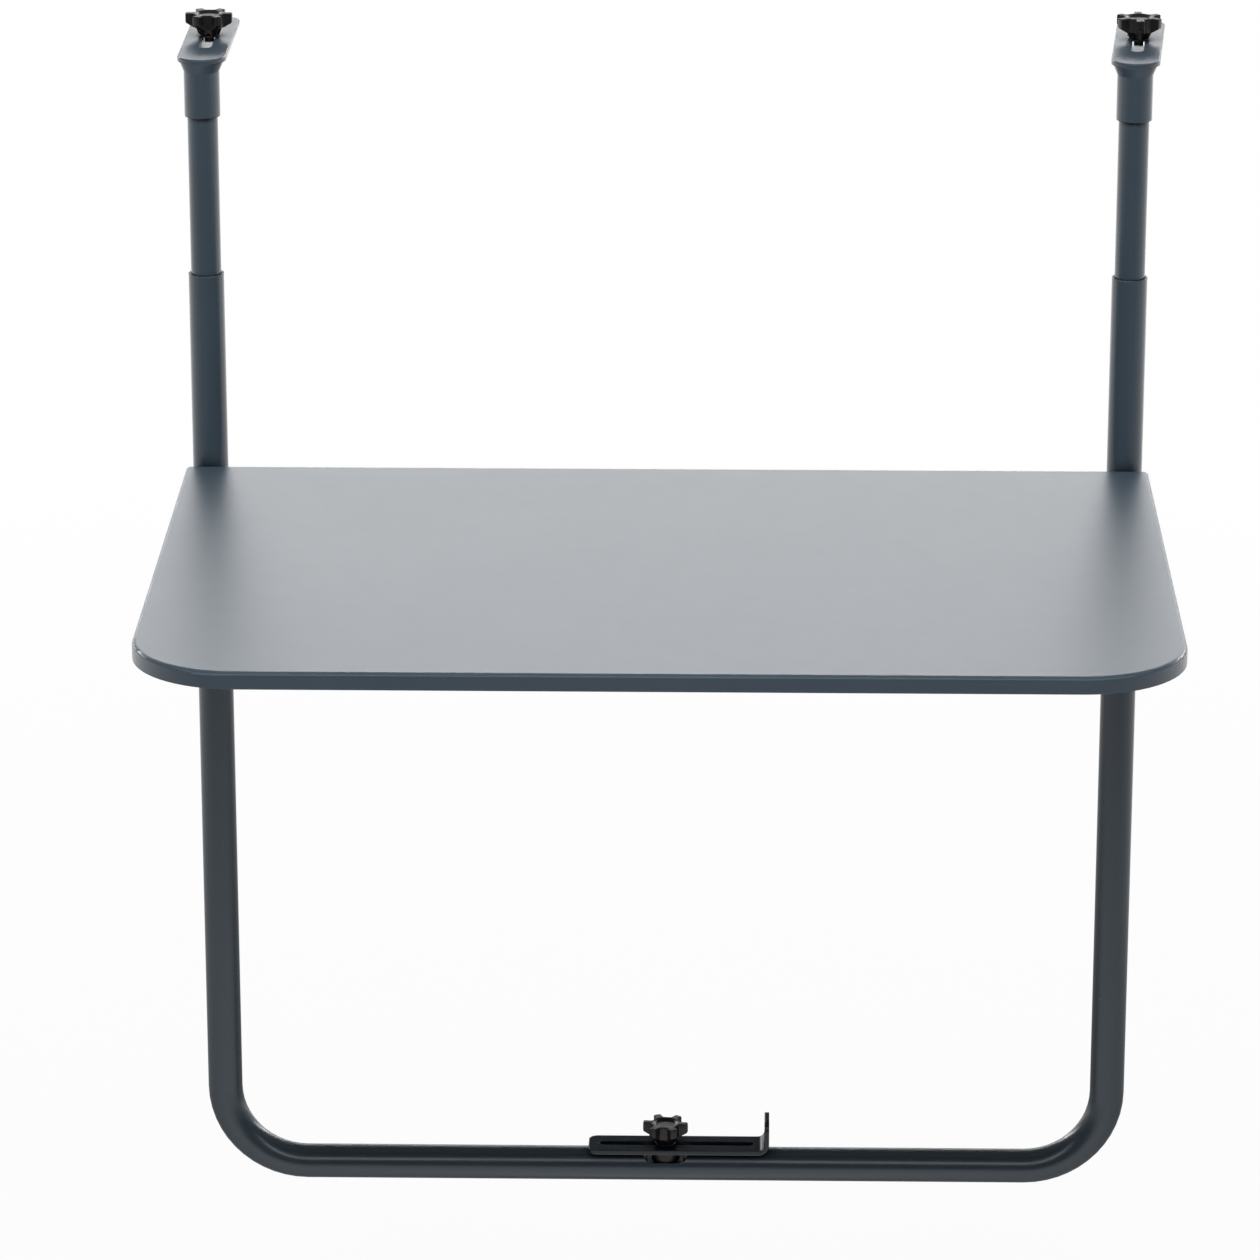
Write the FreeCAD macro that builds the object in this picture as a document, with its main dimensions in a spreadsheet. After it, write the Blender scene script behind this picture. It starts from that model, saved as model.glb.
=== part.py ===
import FreeCAD, Part
import math
import os
from types import SimpleNamespace

import Sketcher

# Folding balcony table that hangs on a handrail.
# X runs along the railing, Y points from the user to the railing, Z points up.
# The origin is midway between the two hooks, on the undersides of their plates.

DIMENSIONS = (
    # tabletop
    ("top_width", 600, "tabletop, left to right"),
    ("top_depth", 400, "tabletop, front to back"),
    ("top_rim", 10, "depth of the turned-down rim"),
    ("sheet", 1.5, "tabletop sheet thickness"),
    ("front_corner", 62, "radius of the front corners"),
    ("rear_corner", 3, "radius of the rear corners"),
    ("edge_bend", 2.5, "outer radius where the rim is turned down"),
    ("rail_drop", 255, "from the hook plates' undersides down to the tabletop"),
    ("rear_gap", 2.5, "between the posts and the rear rim"),
    # bent tube frame
    ("post_spacing", 572, "between the post axes"),
    ("tube", 22, "outside diameter of the frame tube"),
    ("tube_wall", 1.5, "wall of the frame tube and the hook sleeves"),
    ("bend", 53, "centre-line radius of the frame's lower bends"),
    ("leg_drop", 477, "from the tabletop down to the crossbar axis"),
    ("post_rise", 121, "from the tabletop up to the post rims"),
    ("seat_flat", 23, "flat length of the pressed seat in the crossbar"),
    ("seat_slope", 4.5, "length of each sloped end of the seat"),
    ("seat_depth", 7, "depth of the seat below the tube's top"),
    # telescopic tubes and their lock screws
    ("slide_play", 0.1, "radial clearance of telescoping tubes"),
    ("inner_wall", 1.4, "wall of the inner tubes"),
    ("inner_overlap", 130, "length of inner tube inside the post"),
    ("lock_drop", 15, "lock screw axis below the post rim"),
    ("lock_flats", 10, "across flats of lock nuts and screw heads"),
    ("lock_nut", 5, "height of the welded lock nuts"),
    ("lock_head", 4, "height of the lock screw heads"),
    ("lock_reach", 2, "screw shank showing behind its nut"),
    # hooks
    ("sleeve", 34, "length of the sleeve below the hook plate"),
    ("flare", 6, "height over which the sleeve widens to the plate"),
    ("flare_spread", 2.6, "radius that the flare gains on the sleeve"),
    ("hook_spread", 8, "width that the flattened end gains on the tube"),
    ("hook_thick", 3, "thickness of the flattened tube end"),
    ("hook_back", 113, "plate end behind the sleeve axis"),
    ("hook_front", 3.2, "centre of the plate's round front behind the sleeve axis"),
    ("hook_corner", 9, "radius of the plate's rear corners"),
    ("hook_edge", 1, "rounding of the plate's upper edge"),
    ("slot_play", 2, "clearance of the stud across the hook slot"),
    ("slot_start", 23, "front end of the slot behind the sleeve axis"),
    ("slot_end", 100, "rear end of the slot behind the sleeve axis"),
    ("right_turn", 5.5, "degrees that the right hook is turned outwards"),
    ("swivel", 15, "degrees that a hook swivels each way"),
    ("keeper", 5, "shank diameter of the screw that keeps a hook on its tube"),
    ("keeper_head", 9, "head diameter of that screw"),
    ("keeper_cap", 2.6, "head height of that screw"),
    ("keeper_drop", 22, "axis of that screw below the hook plate"),
    ("keeper_play", 0.4, "clearance of that screw in the tube's window"),
    # star knobs and what they clamp
    ("stud_back", 57, "hook knob axis behind the sleeve axis"),
    ("stud", 6, "diameter of the knob studs and hinge bolts"),
    ("thread_play", 0.05, "radial clearance of studs in nuts"),
    ("knob", 29.5, "diameter across the knob lobes"),
    ("knob_lobe", 5.2, "width of one lobe"),
    ("knob_lobes", 6, "number of lobes"),
    ("knob_rim", 6, "height of the lobes at their tips"),
    ("knob_rake", 3.2, "extra height of the lobes at their roots"),
    ("knob_core", 18.8, "diameter between the lobes"),
    ("knob_hub", 7.5, "height of the hub below the lobe tips"),
    ("knob_foot", 13.2, "diameter of the hub's lower end"),
    ("knob_flute", 3.6, "width of the flutes in the hub"),
    ("knob_dish", 16, "diameter of the dished top"),
    ("knob_sink", 1.4, "depth of the dished top"),
    ("knob_bite", 9, "length of stud held in the knob"),
    ("knob_face", -60, "degrees from X to the lobe beside the user's side"),
    ("right_knob_turn", 30, "degrees that the right hook's knob is turned past that"),
    ("bracket_knob_turn", -6.5, "degrees that the lower bracket's knob is turned past that"),
    ("washer", 13, "diameter of the knob washers"),
    ("washer_thick", 1, "thickness of the knob washers"),
    ("clamp_nut", 14, "side of the square clamp nuts"),
    ("clamp_nut_thick", 5, "thickness of the square clamp nuts"),
    ("face_play", 0.2, "gap between faces that turn on each other"),
    # lower bracket
    ("bracket_width", 25, "width of the lower bracket"),
    ("bracket_thick", 3, "thickness of the lower bracket"),
    ("bracket_tail", 50, "from the stud to the bracket's round end"),
    ("bracket_nose", 67.4, "from the stud to the outside of the upright"),
    ("bracket_rise", 22, "height of the upright from the bracket's underside"),
    ("bracket_bend", 4.5, "inner radius of the bracket's bend"),
    ("bracket_corner", 6, "radius of the bracket's end corners"),
    ("bracket_edge", 0.6, "rounding of the bracket's upper edge"),
    ("bracket_slot_play", 0.8, "clearance of the stud across the bracket's slot"),
    ("bracket_slot_tail", 43, "from the stud to the slot's end by the round end"),
    ("bracket_slot_nose", 57.5, "from the stud to the slot's end by the upright"),
    ("rivet_nut", 9, "body diameter of the rivet nut in the crossbar"),
    ("rivet_collar", 18, "diameter of the rivet nut's collar, which carries the bracket"),
    ("rivet_depth", 10, "length of the rivet nut's body"),
    # hinges
    ("hinge_set", 8.5, "hinge axis in front of the tabletop's rear edge"),
    ("hinge_drop", 19.5, "hinge axis below the tabletop's upper face"),
    ("lug", 16, "diameter of the hinge eyes"),
    ("lug_thick", 4, "thickness of the lugs on the posts"),
    ("hinge_washer", 12, "diameter of the hinge washers"),
    ("hinge_washer_thick", 0.9, "thickness of the hinge washers"),
    ("hinge_play", 0.1, "side gap between a lug and its washer"),
    ("pivot_play", 0.08, "radial clearance of pins in their bearings"),
    ("cheek", 2.5, "thickness of the hinge bracket's cheeks"),
    ("cheek_length", 36, "length of the hinge bracket under the sheet"),
    ("cheek_rear", 2.7, "hinge bracket in front of the tabletop's rear edge"),
    ("bolt_flats", 10, "across flats of hinge bolt heads and nuts"),
    ("bolt_head", 4, "height of the hinge bolt heads"),
    ("bolt_nut", 5, "height of the hinge nuts"),
    ("weld_gap", 0.02, "fit of welded and pressed pieces"),
    # support stay
    ("rod", 8, "diameter of the stay's rod"),
    ("rod_bend", 10, "centre-line radius of the stay's bends"),
    ("stay_drop", 130, "stay pivot below the tabletop's upper face"),
    ("stay_reach", 215, "stay's crossbar in front of its pivot"),
    ("stay_inset", 17, "stay's side rods inside the posts"),
    ("stay_pin", 6, "stay's ends inside the post wall's crest"),
    ("bush", 12, "barrel diameter of the stay's bushes"),
    ("bush_flange", 16, "flange diameter of the stay's bushes"),
    ("bush_rim", 2.2, "flange thickness of the stay's bushes"),
    ("bush_depth", 5, "barrel length of the stay's bushes"),
    ("catch_spread", 360, "between the middles of the two catches"),
    ("catch_width", 36, "width of a catch along the crossbar"),
    ("catch_base", 1, "thickness of a catch above the crossbar"),
    ("catch_lip", 3, "depth of a catch's lips"),
    ("catch_lip_length", 8, "length of a catch's lips, front to back"),
    ("catch_front_play", 2.8, "gap between the crossbar and the front lip"),
    ("catch_rear_play", 1, "gap between the crossbar and the rear lip"),
    ("catch_play", 0.3, "gap between the crossbar and its catch"),
    # stiffener under the tabletop
    ("rib_length", 520, "stiffener, left to right"),
    ("rib_width", 40, "stiffener, front to back"),
    ("rib_depth", 7, "stiffener depth"),
    ("rib_wall", 1.2, "stiffener wall"),
    ("rib_set", 90, "stiffener's middle behind the tabletop's front edge"),
)

SIDES = {"left": -1, "right": 1}


class Dim:
    """A length with its value and the sheet expression that drives it."""

    def __init__(self, value, text):
        self.value = value
        self.text = text

    @staticmethod
    def of(other):
        return other if isinstance(other, Dim) else Dim(other, repr(other))

    def __add__(self, other):
        other = Dim.of(other)
        return Dim(self.value + other.value, f"({self.text} + {other.text})")

    def __sub__(self, other):
        other = Dim.of(other)
        return Dim(self.value - other.value, f"({self.text} - {other.text})")

    def __mul__(self, other):
        other = Dim.of(other)
        return Dim(self.value * other.value, f"({self.text} * {other.text})")

    def __truediv__(self, other):
        other = Dim.of(other)
        return Dim(self.value / other.value, f"({self.text} / {other.text})")

    def __neg__(self):
        return Dim(-self.value, f"(-{self.text})")


ZERO = Dim(0.0, "0")


def root(area):
    return Dim(math.sqrt(area.value), f"sqrt({area.text})")


doc = FreeCAD.newDocument("balcony_table")
sheet = doc.addObject("Spreadsheet::Sheet", "Dimensions")
for row, (alias, value, note) in enumerate(DIMENSIONS, 1):
    sheet.set(f"A{row}", note)
    sheet.set(f"B{row}", str(value))
    sheet.setAlias(f"B{row}", alias)
doc.recompute()
d = SimpleNamespace(**{alias: Dim(float(value), f"Dimensions.{alias}") for alias, value, note in DIMENSIONS})

# Places that several pieces share, measured from the tabletop's upper face.
post_x = d.post_spacing / 2
tube_radius = d.tube / 2
bore_radius = tube_radius - d.tube_wall
inner_radius = bore_radius - d.slide_play
sleeve_bore = inner_radius + d.slide_play
sleeve_radius = sleeve_bore + d.tube_wall
hook_half = (d.tube + d.hook_spread) / 2
slot_radius = (d.stud + d.slot_play) / 2
bracket_slot_radius = (d.stud + d.bracket_slot_play) / 2
stud_radius = d.stud / 2
nut_bore = stud_radius + d.thread_play
rear_y = -(tube_radius + d.rear_gap)
front_y = rear_y - d.top_depth
hinge_y = rear_y - d.hinge_set
hinge_z = -d.hinge_drop
pivot_z = -d.stay_drop
crossbar_z = -d.leg_drop
lock_z = d.post_rise - d.lock_drop
lug_half = d.lug_thick / 2
washer_out = lug_half + d.hinge_play + d.hinge_washer_thick
cheek_out = washer_out + d.cheek
rod_radius = d.rod / 2
stay_x = post_x - tube_radius - d.stay_inset
stay_end_x = post_x - tube_radius + d.stay_pin
rod_top_z = -(d.sheet + d.catch_base + d.catch_play)
stay_rise = rod_top_z - rod_radius - pivot_z
stay_length = root(d.stay_reach * d.stay_reach + stay_rise * stay_rise)
knob_gap = d.washer_thick + d.face_play

X_AXIS = FreeCAD.Vector(1, 0, 0)
Y_AXIS = FreeCAD.Vector(0, 1, 0)
Z_AXIS = FreeCAD.Vector(0, 0, 1)
nodes = []


def bind(thing, **dims):
    """Drive properties of an object from the sheet."""
    for name, dim in dims.items():
        thing.setExpression(name, Dim.of(dim).text)


def place(thing, x=ZERO, y=ZERO, z=ZERO):
    """Drive an object's position from the sheet."""
    for axis, dim in zip("xyz", (x, y, z)):
        thing.setExpression(f"Placement.Base.{axis}", Dim.of(dim).text)
    return thing


def node(label, thing):
    """Name a finished piece, whose shape becomes one file."""
    thing.Label = label
    nodes.append(thing)
    return thing


def at_table(label, thing):
    """Name a piece whose heights are measured from the tabletop's upper face."""
    place(thing, z=-d.rail_drop)
    return node(label, thing)


def along(thing, axis):
    """Turn an object's own Z axis to another axis."""
    thing.Placement = FreeCAD.Placement(FreeCAD.Vector(), FreeCAD.Rotation(Z_AXIS, axis))
    return thing


def cylinder(radius, height, axis=Z_AXIS, x=ZERO, y=ZERO, z=ZERO):
    thing = along(doc.addObject("Part::Cylinder", "round"), axis)
    bind(thing, Radius=radius, Height=height)
    return place(thing, x, y, z)


def hexagon(flats, height, axis=Z_AXIS, x=ZERO, y=ZERO, z=ZERO):
    thing = along(doc.addObject("Part::Prism", "hexagon"), axis)
    thing.Polygon = 6
    bind(thing, Circumradius=flats / math.sqrt(3), Height=height)
    return place(thing, x, y, z)


def box(x, y, z):
    """A box between pairs of low and high limits."""
    thing = doc.addObject("Part::Box", "block")
    bind(thing, Length=x[1] - x[0], Width=y[1] - y[0], Height=z[1] - z[0])
    return place(thing, x[0], y[0], z[0])


def cut(base, *tools):
    for tool in tools:
        result = doc.addObject("Part::Cut", "cut")
        result.Base = base
        result.Tool = tool
        base = result
    return base


def fuse(*shapes):
    result = doc.addObject("Part::MultiFuse", "fused")
    result.Shapes = list(shapes)
    return result


def common(*shapes):
    result = doc.addObject("Part::MultiCommon", "shared")
    result.Shapes = list(shapes)
    return result


def group(*shapes):
    """Separate solids that share one node."""
    result = doc.addObject("Part::Compound", "group")
    result.Links = list(shapes)
    return result


def ring(outer, bore, height, axis=Z_AXIS, x=ZERO, y=ZERO, z=ZERO):
    return cut(cylinder(outer, height, axis, x, y, z), cylinder(bore, height, axis, x, y, z))


class Drawing:
    """A sketch on an origin plane of a body, with its sizes bound to the sheet."""

    def __init__(self, body, plane, offset=ZERO):
        planes = {feature.Role: feature for feature in body.Origin.OriginFeatures}
        self.sketch = body.newObject("Sketcher::SketchObject", "sketch")
        self.sketch.AttachmentSupport = [(planes[plane], "")]
        self.sketch.MapMode = "FlatFace"
        self.sketch.setExpression("AttachmentOffset.Base.z", offset.text)

    def add(self, geometry):
        return self.sketch.addGeometry(geometry)

    def relate(self, kind, *places):
        self.sketch.addConstraint(Sketcher.Constraint(kind, *places))

    def size(self, kind, *places):
        """Add a constraint whose last argument is a Dim."""
        index = self.sketch.addConstraint(Sketcher.Constraint(kind, *places[:-1], places[-1].value))
        self.sketch.setExpression(f"Constraints[{index}]", places[-1].text)

    def pin(self, geometry, point, x, y):
        """Hold a point of a geometry at a place in the sketch."""
        self.size("DistanceX", -1, 1, geometry, point, x)
        self.size("DistanceY", -1, 1, geometry, point, y)

    def circle(self, radius, x=ZERO, y=ZERO):
        centre = FreeCAD.Vector(x.value, y.value, 0)
        circle = self.add(Part.Circle(centre, Z_AXIS, radius.value))
        self.size("Radius", circle, radius)
        self.pin(circle, 3, x, y)
        return self

    def polygon(self, *corners):
        spots = [FreeCAD.Vector(x.value, y.value, 0) for x, y in corners]
        lines = [self.add(Part.LineSegment(a, b)) for a, b in zip(spots, spots[1:] + spots[:1])]
        for line, after in zip(lines, lines[1:] + lines[:1]):
            self.relate("Coincident", line, 2, after, 1)
        for line, (x, y) in zip(lines, corners):
            self.pin(line, 1, x, y)
        return self

    def rectangle(self, x, y):
        return self.polygon((x[0], y[0]), (x[1], y[0]), (x[1], y[1]), (x[0], y[1]))

    def stadium(self, start, end, radius, upright=False):
        """A round-ended slot whose arc centres lie at start and end along one sketch axis."""
        turn = math.pi / 2 if upright else 0.0
        reach = FreeCAD.Vector(math.cos(turn), math.sin(turn), 0)
        side = FreeCAD.Vector(-math.sin(turn), math.cos(turn), 0) * radius.value
        first = reach * start.value
        last = reach * end.value
        near = self.add(Part.ArcOfCircle(Part.Circle(first, Z_AXIS, radius.value), turn + math.pi / 2,
                                         turn + 3 * math.pi / 2))
        low = self.add(Part.LineSegment(first - side, last - side))
        far = self.add(Part.ArcOfCircle(Part.Circle(last, Z_AXIS, radius.value), turn - math.pi / 2,
                                        turn + math.pi / 2))
        high = self.add(Part.LineSegment(last + side, first + side))
        for one, other in ((near, low), (low, far), (far, high), (high, near)):
            self.relate("Tangent", one, 2, other, 1)
        self.relate("Equal", near, far)
        self.size("Radius", near, radius)
        for arc, spot in ((near, start), (far, end)):
            self.pin(arc, 3, *((ZERO, spot) if upright else (spot, ZERO)))
        return self

    def bent_path(self, start, runs, radius):
        """A path of square turns. Each run gives its axis and where along it the run's line ends."""
        corners = [start]
        for axis, target in runs:
            x, y = corners[-1]
            corners.append((target, y) if axis == "x" else (x, target))
        spots = [FreeCAD.Vector(x.value, y.value, 0) for x, y in corners]
        headings = [(b - a).normalize() for a, b in zip(spots, spots[1:])]
        lines = []
        for index, heading in enumerate(headings):
            trim_start = radius.value if index else 0.0
            trim_end = radius.value if index < len(headings) - 1 else 0.0
            begin = spots[index] + heading * trim_start
            finish = spots[index + 1] - heading * trim_end
            lines.append(self.add(Part.LineSegment(begin, finish)))
            self.relate("Horizontal" if runs[index][0] == "x" else "Vertical", lines[index])
        arcs = []
        for index, corner in enumerate(spots[1:-1]):
            arrive, leave = headings[index], headings[index + 1]
            begin = corner - arrive * radius.value
            finish = corner + leave * radius.value
            centre = begin + leave * radius.value
            middle = centre + (corner - centre).normalize() * radius.value
            arcs.append(self.add(Part.Arc(begin, middle, finish)))
            left_turn = arrive.cross(leave).z > 0
            into, out_of = (1, 2) if left_turn else (2, 1)
            self.relate("Tangent", lines[index], 2, arcs[index], into)
            self.relate("Tangent", arcs[index], out_of, lines[index + 1], 1)
        self.size("Radius", arcs[0], radius)
        for arc in arcs[1:]:
            self.relate("Equal", arcs[0], arc)
        self.pin(lines[0], 1, *corners[0])
        self.pin(lines[-1], 2, *corners[-1])
        for line, (axis, target), corner in list(zip(lines, runs, corners))[1:-1]:
            if axis == "x":
                self.size("DistanceY", -1, 1, line, 1, corner[1])
            else:
                self.size("DistanceX", -1, 1, line, 1, corner[0])
        return self


def new_body(name):
    return doc.addObject("PartDesign::Body", name)


def pad(body, drawing, length, midplane=False):
    feature = body.newObject("PartDesign::Pad", "pad")
    feature.Profile = drawing.sketch
    feature.Midplane = midplane
    bind(feature, Length=length)
    doc.recompute()
    return feature


def remove(feature, kind):
    """Recompute a cut and make sure that it took material away."""
    before = feature.BaseFeature.Shape.Volume if feature.BaseFeature else 0.0
    doc.recompute()
    if not feature.Shape.Volume < before:
        raise RuntimeError(f"{kind} removes nothing from {feature.getParentGeoFeatureGroup().Label}")
    return feature


def pocket(body, drawing, length, reverse=False):
    feature = body.newObject("PartDesign::Pocket", "pocket")
    feature.Profile = drawing.sketch
    feature.Reversed = reverse
    bind(feature, Length=length)
    return remove(feature, "pocket")


def revolve(body, drawing, kind="PartDesign::Revolution"):
    feature = body.newObject(kind, "turned")
    feature.Profile = drawing.sketch
    feature.ReferenceAxis = (drawing.sketch, ["V_Axis"])
    feature.Angle = 360.0
    if kind == "PartDesign::Groove":
        return remove(feature, "groove")
    doc.recompute()
    return feature


def pipe(body, path, profile):
    feature = body.newObject("PartDesign::AdditivePipe", "pipe")
    feature.Profile = profile.sketch
    feature.Spine = path.sketch
    doc.recompute()
    return feature


def repeat_round(body, drawing, feature, count):
    """Repeat a feature around the axis of its sketch."""
    pattern = body.newObject("PartDesign::PolarPattern", "repeated")
    pattern.Originals = [feature]
    pattern.Axis = (drawing.sketch, ["N_Axis"])
    pattern.Angle = 360.0
    bind(pattern, Occurrences=count)
    body.Tip = pattern
    doc.recompute()
    return pattern


def round_edges(body, radius, chosen):
    """Round the edges of the body's tip whose middles a test chooses."""
    base = body.Tip
    names = []
    for index, edge in enumerate(base.Shape.Edges, 1):
        middle = edge.valueAt((edge.FirstParameter + edge.LastParameter) / 2)
        if chosen(edge, middle):
            names.append(f"Edge{index}")
    feature = body.newObject("PartDesign::Fillet", "round")
    feature.Base = (base, names)
    bind(feature, Radius=radius)
    doc.recompute()
    return feature


def is_upright(edge):
    box_size = edge.BoundBox
    return box_size.ZLength > max(box_size.XLength, box_size.YLength)


def lies_level(edge, height):
    return abs(edge.BoundBox.ZMin - height) < 0.01 and abs(edge.BoundBox.ZMax - height) < 0.01


def make_tabletop():
    """Sheet with a turned-down rim, round at the front corners."""
    body = new_body("tabletop")
    half = d.top_width / 2
    drawing = Drawing(body, "XY_Plane", -d.top_rim).rectangle((-half, half), (front_y, rear_y))
    doc.recompute()
    pad(body, drawing, d.top_rim)
    round_edges(body, d.front_corner, lambda edge, middle: is_upright(edge)
                and middle.y < -d.top_depth.value / 2)
    round_edges(body, d.rear_corner, lambda edge, middle: is_upright(edge) and middle.y > rear_y.value - 1)
    round_edges(body, d.edge_bend, lambda edge, middle: lies_level(edge, 0))
    base = body.Tip
    under = [f"Face{index}" for index, face in enumerate(base.Shape.Faces, 1)
             if abs(face.BoundBox.ZMax + d.top_rim.value) < 0.01]
    shell = body.newObject("PartDesign::Thickness", "hollow")
    shell.Base = (base, under)
    shell.Reversed = True
    bind(shell, Value=d.sheet)
    remove(shell, "hollow")
    at_table("tabletop", body)


def make_stiffener():
    """Channel under the sheet that stops it from drumming."""
    half = d.rib_length / 2
    middle = front_y + d.rib_set
    low, high = middle - d.rib_width / 2, middle + d.rib_width / 2
    base_z = -(d.sheet + d.rib_depth)
    outer = box((-half, half), (low, high), (base_z, -d.sheet))
    inner = box((-half, half), (low + d.rib_wall, high - d.rib_wall), (base_z + d.rib_wall, -d.sheet))
    at_table("top_stiffener", cut(outer, inner))


def make_hinge_bracket(label, side):
    """Two cheeks on a base, welded under the sheet around the lug of a post."""
    middle = post_x * side
    rear = rear_y - d.cheek_rear
    front = rear - d.cheek_length
    top = -d.sheet
    cheeks = []
    for inner in (washer_out, -cheek_out):
        body = new_body("cheek")
        drawing = Drawing(body, "YZ_Plane", middle + inner)
        drawing.polygon((rear, top), (front, top), (hinge_y - d.lug / 2, hinge_z),
                        (hinge_y, hinge_z - d.lug / 4), (rear, hinge_z + d.lug / 4))
        doc.recompute()
        pad(body, drawing, d.cheek)
        cheeks += [body, cylinder(d.lug / 2, d.cheek, X_AXIS, middle + inner, hinge_y, hinge_z)]
    base = box((middle - cheek_out, middle + cheek_out), (front, rear), (top - d.cheek, top))
    bore = cylinder(nut_bore, cheek_out * 2, X_AXIS, middle - cheek_out, hinge_y, hinge_z)
    at_table(label, cut(fuse(base, *cheeks), bore))


def make_hinge_fasteners():
    """Bolts, nuts and washers on which the tabletop folds."""
    bolts, nuts, washers = [], [], []
    for side in SIDES.values():
        middle = post_x * side
        outside = middle + cheek_out if side > 0 else middle - cheek_out - d.bolt_head
        nut_start = middle - cheek_out - d.bolt_nut if side > 0 else middle + cheek_out
        shank_start = middle - cheek_out - d.bolt_nut if side > 0 else middle - cheek_out
        shank = cylinder(stud_radius, cheek_out * 2 + d.bolt_nut, X_AXIS, shank_start, hinge_y, hinge_z)
        bolts.append(fuse(shank, hexagon(d.bolt_flats, d.bolt_head, X_AXIS, outside, hinge_y, hinge_z)))
        nuts.append(cut(hexagon(d.bolt_flats, d.bolt_nut, X_AXIS, nut_start, hinge_y, hinge_z),
                        cylinder(nut_bore, d.bolt_nut, X_AXIS, nut_start, hinge_y, hinge_z)))
        for start in (lug_half + d.hinge_play, -washer_out):
            washers.append(ring(d.hinge_washer / 2, nut_bore, d.hinge_washer_thick, X_AXIS, middle + start,
                                hinge_y, hinge_z))
    at_table("hinge_bolts", group(*bolts))
    at_table("hinge_nuts", group(*nuts))
    at_table("hinge_washers", group(*washers))


def make_stay_catch(label, side):
    """Lipped plate under the sheet that holds the stay's crossbar."""
    middle = d.catch_spread / 2 * side
    across = (middle - d.catch_width / 2, middle + d.catch_width / 2)
    rod_y = -d.stay_reach
    front = rod_y - rod_radius - d.catch_front_play
    rear = rod_y + rod_radius + d.catch_rear_play
    base_z = -(d.sheet + d.catch_base)
    lip_z = base_z - d.catch_lip
    block = box(across, (front - d.catch_lip_length, rear + d.catch_lip_length), (lip_z, -d.sheet))
    at_table(label, cut(block, box(across, (front, rear), (lip_z, base_z))))


def make_frame():
    """One tube bent to a U, with a pressed seat for the lower bracket."""
    body = new_body("bent_tube")
    path = Drawing(body, "XZ_Plane")
    path.bent_path((-post_x, d.post_rise), (("z", crossbar_z), ("x", post_x), ("z", d.post_rise)), d.bend)
    section = Drawing(body, "XY_Plane", d.post_rise).circle(tube_radius, -post_x).circle(bore_radius, -post_x)
    doc.recompute()
    pipe(body, path, section)
    top = crossbar_z + tube_radius
    floor = top - d.seat_depth
    flat = d.seat_flat / 2
    end = flat + d.seat_slope
    pocket_drawing = Drawing(body, "XZ_Plane")
    pocket_drawing.polygon((-flat, floor), (flat, floor), (end, top), (end, top + d.tube_wall),
                           (-end, top + d.tube_wall), (-end, top))
    doc.recompute()
    notch = body.newObject("PartDesign::Pocket", "notch")
    notch.Profile = pocket_drawing.sketch
    notch.Midplane = True
    bind(notch, Length=d.tube * 2)
    remove(notch, "notch")
    pressed = new_body("pressed_seat")
    strip = Drawing(pressed, "XZ_Plane")
    wall = d.tube_wall
    strip.polygon((-end, top), (-flat, floor), (flat, floor), (end, top), (end + wall, top),
                  (flat + wall, floor - wall), (-flat - wall, floor - wall), (-end - wall, top))
    doc.recompute()
    pad(pressed, strip, d.tube, midplane=True)
    hull = cylinder(tube_radius, (end + wall) * 2, X_AXIS, -end - wall, ZERO, crossbar_z)
    holes = [cylinder(d.rivet_nut / 2 + d.weld_gap, wall * 3, z=floor - wall * 2)]
    for side in SIDES.values():
        inward = post_x * side if side < 0 else post_x - d.tube
        bush_hole = cylinder(d.bush / 2 + d.weld_gap, d.tube, X_AXIS, inward, ZERO, pivot_z)
        holes += [bush_hole, cylinder(nut_bore, d.tube, Y_AXIS, post_x * side, ZERO, lock_z)]
    at_table("u_frame", cut(fuse(body, common(pressed, hull)), *holes))


def make_post_lug(label, side):
    """Plate welded to a post's front, which carries one hinge bolt."""
    middle = post_x * side
    left = middle - lug_half
    eye = cylinder(d.lug / 2, d.lug_thick, X_AXIS, left, hinge_y, hinge_z)
    web = box((left, left + d.lug_thick), (hinge_y, ZERO), (hinge_z - d.lug / 2, hinge_z + d.lug / 2))
    post = cylinder(tube_radius + d.weld_gap, d.lug * 2, Z_AXIS, middle, ZERO, hinge_z - d.lug)
    bore = cylinder(stud_radius + d.pivot_play, d.lug_thick, X_AXIS, left, hinge_y, hinge_z)
    at_table(label, cut(fuse(eye, web), post, bore))


def make_stay_bush(label, side):
    """Flanged bush in a post's inner wall, in which the stay's end turns."""
    crest = (post_x - tube_radius) * side
    flange_start = crest - d.bush_rim if side > 0 else crest
    barrel_start = crest if side > 0 else crest - d.bush_depth
    bore_start = flange_start if side > 0 else barrel_start
    body = fuse(cylinder(d.bush_flange / 2, d.bush_rim, X_AXIS, flange_start, ZERO, pivot_z),
                cylinder(d.bush / 2, d.bush_depth, X_AXIS, barrel_start, ZERO, pivot_z))
    bore = cylinder(rod_radius + d.pivot_play, d.bush_rim + d.bush_depth, X_AXIS, bore_start, ZERO, pivot_z)
    at_table(label, cut(body, bore))


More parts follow.
